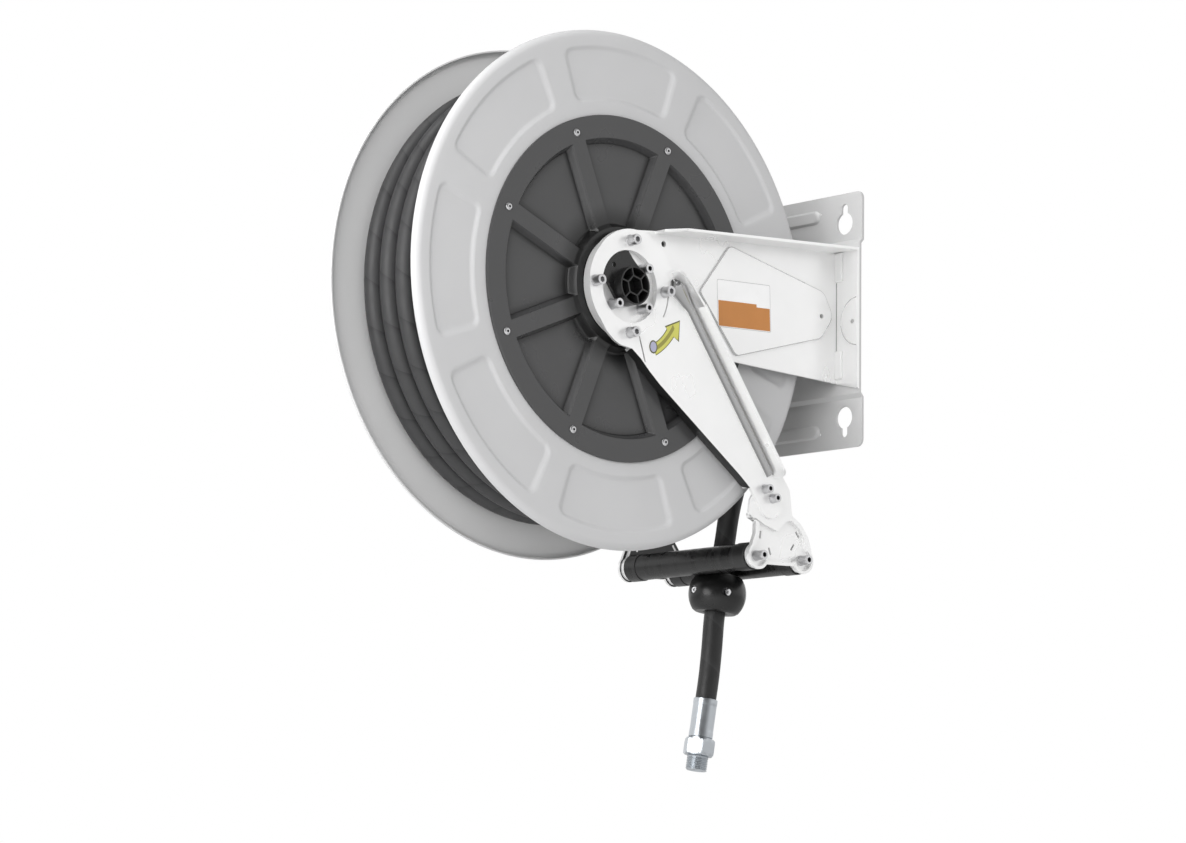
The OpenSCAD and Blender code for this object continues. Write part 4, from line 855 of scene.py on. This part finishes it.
# %% Eased edges
def eased(node, width, segments=2, limit=32, socket=0, finish=None, shaded_side=None):
    """Copy of a CAD node whose sharp edges are rounded over a width."""
    body, slot = body_of[node], slot_of[node]
    mesh = bpy.data.meshes.new(node + "_eased")
    shape = bmesh.new()
    shape.from_mesh(frame["nodes"][node].data)
    bmesh.ops.remove_doubles(shape, verts=shape.verts, dist=2e-6)
    bmesh.ops.dissolve_limit(shape, angle_limit=math.radians(0.4), verts=shape.verts,
                             edges=shape.edges)
    shape.to_mesh(mesh)
    shape.free()
    mesh.shade_smooth()
    mesh.set_sharp_from_angle(angle=math.radians(limit))
    mesh.materials.append(finish or slot_finish[slot])
    if socket:
        shade_sockets(mesh, socket)
    if shaded_side:
        shade_inside(mesh, shaded_side)
    piece = bpy.data.objects.new(node + "_eased", mesh)
    bpy.context.scene.collection.objects.link(piece)
    bevel = piece.modifiers.new("ease", "BEVEL")
    bevel.width = width
    bevel.segments = segments
    bevel.limit_method = "ANGLE"
    bevel.angle_limit = math.radians(limit)
    bevel.harden_normals = True
    return settle(piece, body, slot, node)


for node in ["wall_plate", "near_side_arm", "far_side_arm"]:
    eased(node, 0.8 * mm, 3)
for side in outwards:
    eased(side + "_guide_plate", 0.8 * mm, 3, shaded_side=side)
for node in ["corner_tabs", "near_guide_arm", "far_guide_arm"]:
    eased(node, 0.5 * mm)
for node in ["near_shaft_flange", "far_shaft_flange", "ratchet_wheel", "pawl", "inlet_elbow",
             "hub_core", "main_shaft"]:
    eased(node, 0.4 * mm)
for node in ["front_roller_tube", "rear_roller_tube"]:
    eased(node, 0.4 * mm, finish=rubbed_black)
for node in ["front_roller_caps", "rear_roller_caps"]:
    eased(node, 0.8 * mm, 3, finish=rubbed_black)
for node in ["ball_front_half", "ball_rear_half"]:
    eased(node, 0.8 * mm, 3, finish=ball_plastic)
for node in ["guide_arm_screws", "roller_axle_screws", "core_screws", "head_screws"]:
    eased(node, 0.3 * mm, socket=2.9 * mm)
for node in ["near_cover_screws", "far_cover_screws"]:
    eased(node, 0.3 * mm, socket=1.5 * mm)
eased("ratchet_screws", 0.3 * mm)
eased("ball_screws", 0.3 * mm, finish=shaft_steel)

# %% [markdown]
# ## Beads of the wall plate
# A long bead is pressed into each ear of the plate and keeps it stiff. It is a soft swelling of
# the sheet: its height falls off smoothly with the distance to the bead's middle line. A patch
# laid over the plate's face leaves the plate itself alone.

# %% Beads
bead_half_l, bead_half_w, bead_h, bead_z, plate_face = 62, 8.5, 2.5, 118, -3
bead_sink, bead_back, bead_wall = 0.3, 0.8, 0.41   # below the face, in mm; share of the half width


def bead(name, at_z):
    """Patch in front of the plate: face - height where the distance to a line is small, with
    smooth walls that end at the half width."""
    along = np.linspace(-1, 1, 61)
    reach = bead_half_l + bead_half_w
    x, z = np.meshgrid(along * reach, along * bead_half_w, indexing="ij")
    off = np.hypot(np.maximum(np.abs(x) - bead_half_l, 0), z) / bead_half_w
    y = plate_face + bead_sink - (bead_h + bead_sink) * smooth((1 - off) / bead_wall)
    front = np.stack([x, y, z + at_z], -1)
    behind = front * [1, 0, 1] + [0, plate_face + bead_back, 0]
    co = np.concatenate([front, behind[:, ::-1]], 1) * mm
    settle(bar_piece(name, co, plate_grey, 50), "frame", "plate_paint")


bead("upper_bead", bead_z)
bead("lower_bead", -bead_z)
print("beads: two, of", 2 * (bead_half_l + bead_half_w), "mm")

# %% [markdown]
# ## Folds of the guide arms
# The press leaves a round inner corner where an arm's flange is turned up, wide at the top, where the fold starts,
# and narrower below. Bright metal mirrors the room there in long thin bands, and its zinc is darker than the
# arm's, which paints shade along the fold. The corner is a quarter circle carried along the flange, and the rest
# of it lies inside the sheet.

# %% Fold sizes
rear_start, rear_bend = np.array([59, 20.5]), np.array([88.5, -12])
arm_end, arm_end_r, flange_stop = np.array([204.3, -203.5]), 17.8, 18
sheet_face, sheet_t = 105, 3
fold_r, fold_more, fold_sunk = 5.5, 7.5, 0.8       # radius, what the top adds, part in the sheet
fold_fade, fold_rise, fold_before = 42, 16, 6      # the top's length, the start's and its lead
fold_short = 6                                     # what the end leaves of the flange

to_end = arm_end - rear_bend
lean = math.atan2(to_end[1], to_end[0]) + math.asin(arm_end_r / np.linalg.norm(to_end))
fold_len = math.sqrt(to_end @ to_end - arm_end_r ** 2) - flange_stop - fold_short
fold_end = rear_bend + fold_len * np.array([math.cos(lean), math.sin(lean)])
print("folds end", np.round(fold_end, 1), "mm back and up from the axle")


# %% Rear folds
def along_line(points, count):
    """Even steps along a broken line, the direction at each, and the direction at its right."""
    points = np.asarray(points, float)
    at = distances(points)
    s = np.linspace(0, at[-1], count)
    places = np.stack([np.interp(s, at, points[:, i]) for i in (0, 1)], 1)
    d = unit(np.gradient(places, axis=0))
    return s, places, np.stack([d[:, 1], -d[:, 0]], 1)


def rear_fold(side):
    """Quarter circle between sheet and flange: foot + inward (R - R sin t), face + R - R cos t."""
    s, edge, inward = along_line([rear_start + [3, -3.3], rear_bend, fold_end], 90)
    foot = edge + inward * sheet_t
    radius = fold_r + fold_more * (1 - smooth(s / fold_fade))
    radius = radius * smooth((s + fold_before) / fold_rise)
    t = np.radians(np.linspace(0, 90, 15))[None]
    across, rise = (radius[:, None] * (1 - wave) for wave in (np.sin(t), np.cos(t)))
    arc = foot[:, None] + inward[:, None] * across[..., None]
    buried = (foot - inward * fold_sunk)[:, None]
    places = np.concatenate([arc, buried, arc[:, :1]], 1)
    x = np.hstack([sheet_face + rise, np.full((len(s), 2), sheet_face - fold_sunk)])
    piece = bar_piece(side + "_rear_fold", on_arm(places, x, side), shaded_bend_zinc, 40)
    return settle(piece, "frame", "arm_steel")


for side in outwards:
    made = rear_fold(side)
    print(made.name, len(made.data.polygons), "faces")

# %% [markdown]
# ## Lines of the pressed panels
# Each side arm has a raised pad, whose edge bends the sheet twice, a round boss at its root, and a seam where arm
# and plate meet. The CAD has these steps, but at each bend pressed sheet keeps a small round ridge, which catches
# a line of light or shade. Thin round beads half sunk in the sheet make it, because a bevel can round a corner but
# can't raise one. The beads are in a darker zinc than the arm, and the seam's in a near-black one: painted shade
# lines.

# %% Panel sizes
pad_corners = [([100, 8], 5), ([143, 62], 8), ([283, 30], 14), ([297, 5], 14), ([279, -20], 14),
               ([153, -54], 8)]                    # [back, up] and the corner's radius, in mm
line_r, arm_face, pad_face, base_face = 0.5, 102, 104, 304
boss_middle, boss_r, boss_h = np.array([136, -1.4]), 26, 1.5


def rounded_line(corners, steps=7):
    """Closed line round the corners; each arc touches both of its corner's sides."""
    points = np.array([c for c, _ in corners], float)
    line = []
    for (corner, radius), before, after in zip(corners, np.roll(points, 1, 0),
                                               np.roll(points, -1, 0)):
        a, b = unit(before - corner), unit(after - corner)
        half = math.acos(np.clip(a @ b, -1, 1)) / 2
        middle = unit(a + b) * radius / math.sin(half)
        first = a * radius / math.tan(half) - middle
        last = b * radius / math.tan(half) - middle
        t = np.linspace(0, 1, steps)[:, None]
        line.append(corner + middle + radius * unit(first * (1 - t) + last * t))
    line = np.vstack(line)
    return np.vstack([line, line[:1]])


# %% Panel lines
across_lines = [0.3, 0.5, 0.8]                     # a direction that no line runs in
pad_line = rounded_line(pad_corners)
seam_line = np.array([[base_face, z] for z in (-31.0, 6, 43)])
boss_turn = np.radians(np.linspace(97, 263, 40))
boss_line = np.stack([base_face - boss_h + 0 * boss_turn,
                      boss_middle[1] + boss_r * np.sin(boss_turn)], 1)


def thin_line(name, path, finish):
    """Thin round bead along a path, half sunk in the sheet."""
    reference = np.tile(across_lines, (len(path), 1))
    return settle(tube(name, path, reference, line_r * mm, 8, finish), "frame", "arm_steel")


for side in outwards:
    # darker zinc on the pad's foot and brow and the boss's edge, near-black on the seam: painted shade lines
    thin_line(side + "_panel_foot", on_arm(pad_line, arm_face, side), shaded_line_zinc)
    thin_line(side + "_panel_brow", on_arm(pad_line, pad_face - line_r / 2, side), shaded_line_zinc)
    thin_line(side + "_corner_seam", on_arm(seam_line, arm_face + 0.1, side), shadow_seam_zinc)
    boss_x = boss_middle[0] + boss_r * np.cos(boss_turn)
    thin_line(side + "_boss_edge", on_arm(boss_line, boss_x, side), shaded_line_zinc)
print("panel lines: four on each side, round a pad of",
      round(float(distances(pad_line)[-1])), "mm")

# %% [markdown]
# ## Edge strips
# A black strip lies over the guide arm's other fold, the one that faces the drum. It is a band that swells a
# little over the fold and tapers at both ends.

# %% Edge strips
front_line = [[4, -64], [16.5, -73], [29, -85], [43.5, -97], arm_end + [-46, 24],
              arm_end + [-31, 12]]
strip_in, strip_out = 93.72, 104.85                # from the middle of the reel, in mm
strip_gap, strip_swell, strip_grip, strip_taper = 0.3, 0.25, 0.4, 5


def edge_strip(side):
    """Rounded band just outside the fold, from the sheet's face to just past the fold's end. At
    its ends the width eases in by a quarter circle: sqrt(1 - (1 - e)^2)."""
    s, edge, outward = along_line(front_line, 80)
    end = np.clip(np.minimum(s, s[-1] - s) / strip_taper, 0, 1)
    ease = np.sqrt(np.clip(1 - (1 - end) ** 2, 0, 1))[:, None]
    t = np.linspace(0, 1, 13)[None]
    depth = strip_in + (strip_out - strip_in) * (1 - t * (0.25 + 0.75 * ease))
    swell = strip_gap + strip_swell * np.sin(np.pi * t) * ease
    outer = edge[:, None] + outward[:, None] * swell[..., None]
    inner = edge[:, None] - outward[:, None] * (strip_grip + 0 * t)[..., None]
    co = on_arm(np.concatenate([outer, inner[:, ::-1]], 1), np.hstack([depth, depth[:, ::-1]]),
                side)
    return settle(bar_piece(side + "_edge_strip", co, black_plastic, 40), "frame",
                  "black_plastic")


for side in outwards:
    made = edge_strip(side)
    print(made.name, len(made.data.polygons), "faces")

# %% [markdown]
# ## Hose end and inlet
# The ferrule is crimped onto the hose, the fitting's hexagon is chamfered and its thread is cut,
# and the inlet's nipple is made alike. Each is a profile carried round an axis, and the thread's
# radius waves along it with the pitch of a pipe thread.

# %% Round the hose's end
end_at = route[-1]
end_dir = unit(route[-1] - route[-2])
side_dir = unit(np.cross(end_dir, [0, 1.0, 0]))
depth_dir = np.cross(end_dir, side_dir)


def around_end(radius, angle, along):
    """Point round the hose end's axis, at a distance along it."""
    radius, angle, along = np.broadcast_arrays(radius, angle, along)
    return (end_at + along[..., None] * end_dir + (radius * np.cos(angle))[..., None] * side_dir
            + (radius * np.sin(angle))[..., None] * depth_dir)


def revolved(name, radius, along, place, material, crease, sides=96):
    """Closed section swept round an axis, where the radius depends on the angle too."""
    angle = (np.arange(sides) * 2 * np.pi / sides)[None]
    return ring_piece(name, place(radius(angle), angle, along[:, None]), material, crease)


# %% Ferrule
ferrule_r, ferrule_len, neck, bore = 12.9 * mm, 43 * mm, 1.2 * mm, 8.4 * mm
crimp_depth, jaw_depth = 0.14 * mm, 0.10 * mm
crimp_z = np.linspace(5 * mm, ferrule_len - 7 * mm, 40)
crimp = smooth((crimp_z - 5 * mm) / (2 * mm)) * smooth((ferrule_len - 7 * mm - crimp_z) / (2 * mm))
ferrule_z = np.concatenate([[0, 0, 0.6 * mm, 4 * mm], crimp_z,
                            [ferrule_len - 3 * mm, ferrule_len - neck - 0.5 * mm,
                             ferrule_len - neck, ferrule_len - neck, ferrule_len, ferrule_len]])
ferrule_rad = np.concatenate([[bore, ferrule_r - 0.6 * mm, ferrule_r, ferrule_r],
                              ferrule_r - crimp_depth * crimp,
                              [ferrule_r, ferrule_r, ferrule_r - 0.5 * mm, ferrule_r - mm,
                               ferrule_r - mm, bore]])
jaws = np.concatenate([np.zeros(4), crimp, np.zeros(6)])[:, None]


def crimped(angle):
    """Eight shallow jaw marks: the radius dips where the flats of the jaws pressed."""
    return ferrule_rad[:, None] - jaw_depth * jaws * (0.5 + 0.5 * np.cos(8 * angle)) ** 3


ferrule = revolved("crimped_ferrule", crimped, ferrule_z, around_end, fitting_zinc, 30)
settle(ferrule, "frame", "fitting_zinc", "ferrule")
print("ferrule:", ferrule_len / mm, "mm long")

# %% Hexagons and threads
thread_pitch, ridge = 1.81 * mm, 1.0 * mm
cone = np.array([0.84, 0.87, 0.97, 1, 1, 0.97, 0.87])[:, None]


def hexagon_z(length, ease, chamfer):
    """Distances of a hexagon's rings: both ends, both cones, and the flats between them."""
    return np.array([0, 0, ease, chamfer, length - chamfer, length - ease, length])


def hexagon(angle, corner_r):
    """Hexagon, r cos 30 / cos of the angle off its nearest flat, cut by a cone at both ends."""
    phase = (angle - math.radians(30)) % math.radians(60) - math.radians(30)
    return np.minimum(corner_r * math.cos(math.radians(30)) / np.cos(phase), corner_r * cone)


def threaded(angle, along, crest_r, cut=1.0):
    """Helical thread: crest - ridge (1 + cos w) / 2, where w is the height in pitches less the
    turn."""
    wave = (along[:, None] / thread_pitch - angle / (2 * np.pi)) % 1
    return crest_r - ridge * (0.5 + 0.5 * np.cos(2 * np.pi * wave)) * cut


# %% Threaded end
hex_r, hex_len, thread_r, thread_len = 17 * mm, 18 * mm, 11.45 * mm, 16 * mm
thread_at, thread_end = ferrule_len + hex_len, ferrule_len + hex_len + thread_len
thread_z = thread_at + np.linspace(1.5 * mm, thread_len - 0.6 * mm, 110)


def fitting_radius(angle):
    """Hexagon, a neck, a thread that deepens over its first 2 mm, and the bore inside."""
    runout = smooth((thread_z[:, None] - thread_at - 1.5 * mm) / (2 * mm))
    flat = np.ones_like(angle)
    return np.vstack([bore * 0.76 * flat, hexagon(angle, hex_r), (thread_r - 0.9 * mm) * flat,
                      threaded(angle, thread_z - ferrule_len, thread_r, 0.3 + 0.7 * runout),
                      (thread_r - 1.2 * mm) * flat, bore * 0.9 * flat, bore * 0.76 * flat])


fitting_z = np.concatenate([[ferrule_len], ferrule_len + hexagon_z(hex_len, 1.3 * mm, 4 * mm),
                            [thread_at + 0.2 * mm], thread_z,
                            [thread_end, thread_end, thread_end - 1.5 * mm]])
fitting = revolved("threaded_end", fitting_radius, fitting_z, around_end, fitting_zinc, 28)
settle(fitting, "frame", "fitting_zinc", "end_fitting")
print("threaded end:", round(thread_len / thread_pitch, 1), "turns of thread")

# %% Inlet nipple
inlet_top = drum_at + np.array([-150, 0, -28]) * mm
inlet_hex_r, inlet_hex_len, inlet_r, inlet_len = 16 * mm, 12 * mm, 10.5 * mm, 18 * mm
inlet_bore, inlet_end = 6.4 * mm, inlet_hex_len + inlet_len
inlet_thread_z = inlet_hex_len + np.linspace(1.2 * mm, inlet_len - 0.6 * mm, 120)


def below_inlet(radius, angle, along):
    """Point round the nipple's upright axis, at a distance down it."""
    radius, angle, along = np.broadcast_arrays(radius, angle, along)
    return inlet_top + np.stack([radius * np.cos(angle), radius * np.sin(angle), -along], -1)


def nipple_radius(angle):
    """Hexagon with chamfers, a helical thread below it, and the waterway inside."""
    flat = np.ones_like(angle)
    return np.vstack([inlet_bore * flat, hexagon(angle, inlet_hex_r),
                      threaded(angle, inlet_thread_z, inlet_r), (inlet_r - 1.2 * mm) * flat,
                      (inlet_bore + mm) * flat, inlet_bore * flat])


inlet_z = np.concatenate([[0], hexagon_z(inlet_hex_len, 1.1 * mm, 3 * mm), inlet_thread_z,
                          [inlet_end, inlet_end, inlet_end - 1.2 * mm]])
nipple = revolved("threaded_nipple", nipple_radius, inlet_z, below_inlet, cast_brass, 28)
settle(nipple, "frame", "brass", "inlet_nipple")
print("nipple:", round(inlet_len / thread_pitch, 1), "turns of thread")

# %% [markdown]
# ## Stickers
# Two stickers lie on the near side's arms: on the pressed pad a label in white and orange with a
# thin grey edge, and on the guide arm a yellow arrow that shows which way the drum turns. Each
# colour is a sheet a twentieth of a millimetre thick over the one below it, as in screen
# printing, so the picture is made of geometry and needs no image.

# %% Sticker helpers
film_t, film_step = 0.05, 0.06                     # mm


def sticker_ink(name, colour):
    """Vinyl film: an even ink, a soft gloss and a faint waviness from the hand that applied it."""
    f = Finish(name)
    f.drift(colour, 0.03, 40)
    f.rough(0.34, 0.46, 50)
    f.relief(f.noise(90, 2), 0.00012, 0.25)
    return f.material


def film(name, outline, face, level, material):
    """Closed thin sheet from an outline of [back, up] points about the axle, in millimetres, so
    many levels above a face."""
    outline, count = np.asarray(outline) * mm, len(outline)
    x = face + 0.02 + film_step * level
    co = [np.column_stack([np.full(count, at * mm), frame_at[1] + outline[:, 0],
                           frame_at[2] + outline[:, 1]]) for at in (x, x + film_t)]
    rim = [[i, (i + 1) % count, count + (i + 1) % count, count + i] for i in range(count)]
    faces = [list(range(count))[::-1], list(range(count, 2 * count)), *rim]
    return settle(mesh_piece(name, np.vstack(co), faces, material), "frame", "arm_steel")


def rounded_box(x0, y0, x1, y1, radius):
    """Corners as quarter circles, in order round the box."""
    t = np.radians(np.arange(0, 91, 15))
    arc = radius * np.stack([np.cos(t), np.sin(t)], 1)
    return np.vstack([[x1 - radius, y1 - radius] + arc,
                      [x0 + radius, y1 - radius] + arc[::-1] * [-1, 1],
                      [x0 + radius, y0 + radius] - arc,
                      [x1 - radius, y0 + radius] + arc[::-1] * [1, -1]])


# %% Label
label_at, label_tilt = np.array([126.0, -26.2]), math.radians(2.2)
label_w, label_h, label_edge = 77.6, 50.6, 0.6
label_turn = np.array([[math.cos(label_tilt), math.sin(label_tilt)],
                       [-math.sin(label_tilt), math.cos(label_tilt)]])
label_grey = sticker_ink("label_grey", (0.50, 0.50, 0.50))
label_white = sticker_ink("label_white", (0.95, 0.95, 0.95))
label_orange = sticker_ink("label_orange", (0.54, 0.22, 0.055))
sheet = rounded_box(0, 0, label_w, label_h, 2)
inset = rounded_box(label_edge, label_edge, label_w - label_edge, label_h - label_edge, 1.6)
field = np.array([[1.2, 1.2], [76.4, 1.2], [76.4, 25.2], [57, 25.2], [57, 28.4], [1.2, 28.4]])
film("label_edge", label_at + sheet @ label_turn, pad_face, 0, label_grey)
film("label_film", label_at + inset @ label_turn, pad_face, 1, label_white)
film("label_field", label_at + field @ label_turn, pad_face, 2, label_orange)
print("label:", label_w, "by", label_h, "mm")


# %% Arrow shape
band_in, band_middle, band_out = 64.2, 70, 77.0    # radii in mm
band_start, band_end = -61, -36                    # degrees
barb_in, tip, barb_out = (60.6, -35.6), (75.4, -20.6), (85.2, -35.4)
tail = (33.4, -58.8)


def turned_points(pairs):
    """Points from radius and angle about the axle."""
    r, a = np.array(pairs, float).T
    a = np.radians(a)
    return np.stack([r * np.cos(a), r * np.sin(a)], 1)


def arrow(inset):
    """Band between two arcs and a head with two barbs, all drawn in by an inset."""
    turn = math.degrees(inset / band_middle)
    angles = np.linspace(band_start, band_end, 14)
    inner = [[band_in + inset + 0.6 * np.sin((a - band_start) / 8), a] for a in angles]
    outer = [[band_out - inset, a] for a in angles[::-1]]
    head = [[barb_in[0] + 2.2 * inset, barb_in[1] + 0.6 * turn], [tip[0], tip[1] - 1.9 * turn],
            [barb_out[0] - 2.2 * inset, barb_out[1] + 0.6 * turn]]
    return turned_points([*inner, *head, *outer])


def oval(centre, half_back, half_up):
    """Ellipse about a centre."""
    t = np.radians(np.arange(0, 360, 12))
    return np.array(centre) + np.stack([half_back * np.cos(t), half_up * np.sin(t)], 1)


# %% Arrow
arrow_ink = sticker_ink("arrow_outline", (0.10, 0.10, 0.035))
arrow_yellow = sticker_ink("arrow_yellow", (0.62, 0.60, 0.13))
arrow_olive = sticker_ink("arrow_olive", (0.30, 0.28, 0.06))
arrow_grey = sticker_ink("arrow_grey", (0.42, 0.42, 0.56))
stripe = [[68.6, a] for a in np.linspace(-58, -28, 12)] \
    + [[72.6, a] for a in np.linspace(-30, -58, 12)]
film("arrow_edge", arrow(0), sheet_face, 0, arrow_ink)
film("arrow_band", arrow(0.9), sheet_face, 1, arrow_yellow)
film("arrow_stripe", turned_points(stripe), sheet_face, 2, arrow_olive)
film("arrow_tail_edge", oval(tail, 5.6, 6.9), sheet_face, 3, arrow_ink)
film("arrow_tail", oval(tail, 4.3, 5.5), sheet_face, 4, arrow_grey)
print("stickers: a label in three colours and an arrow in four")
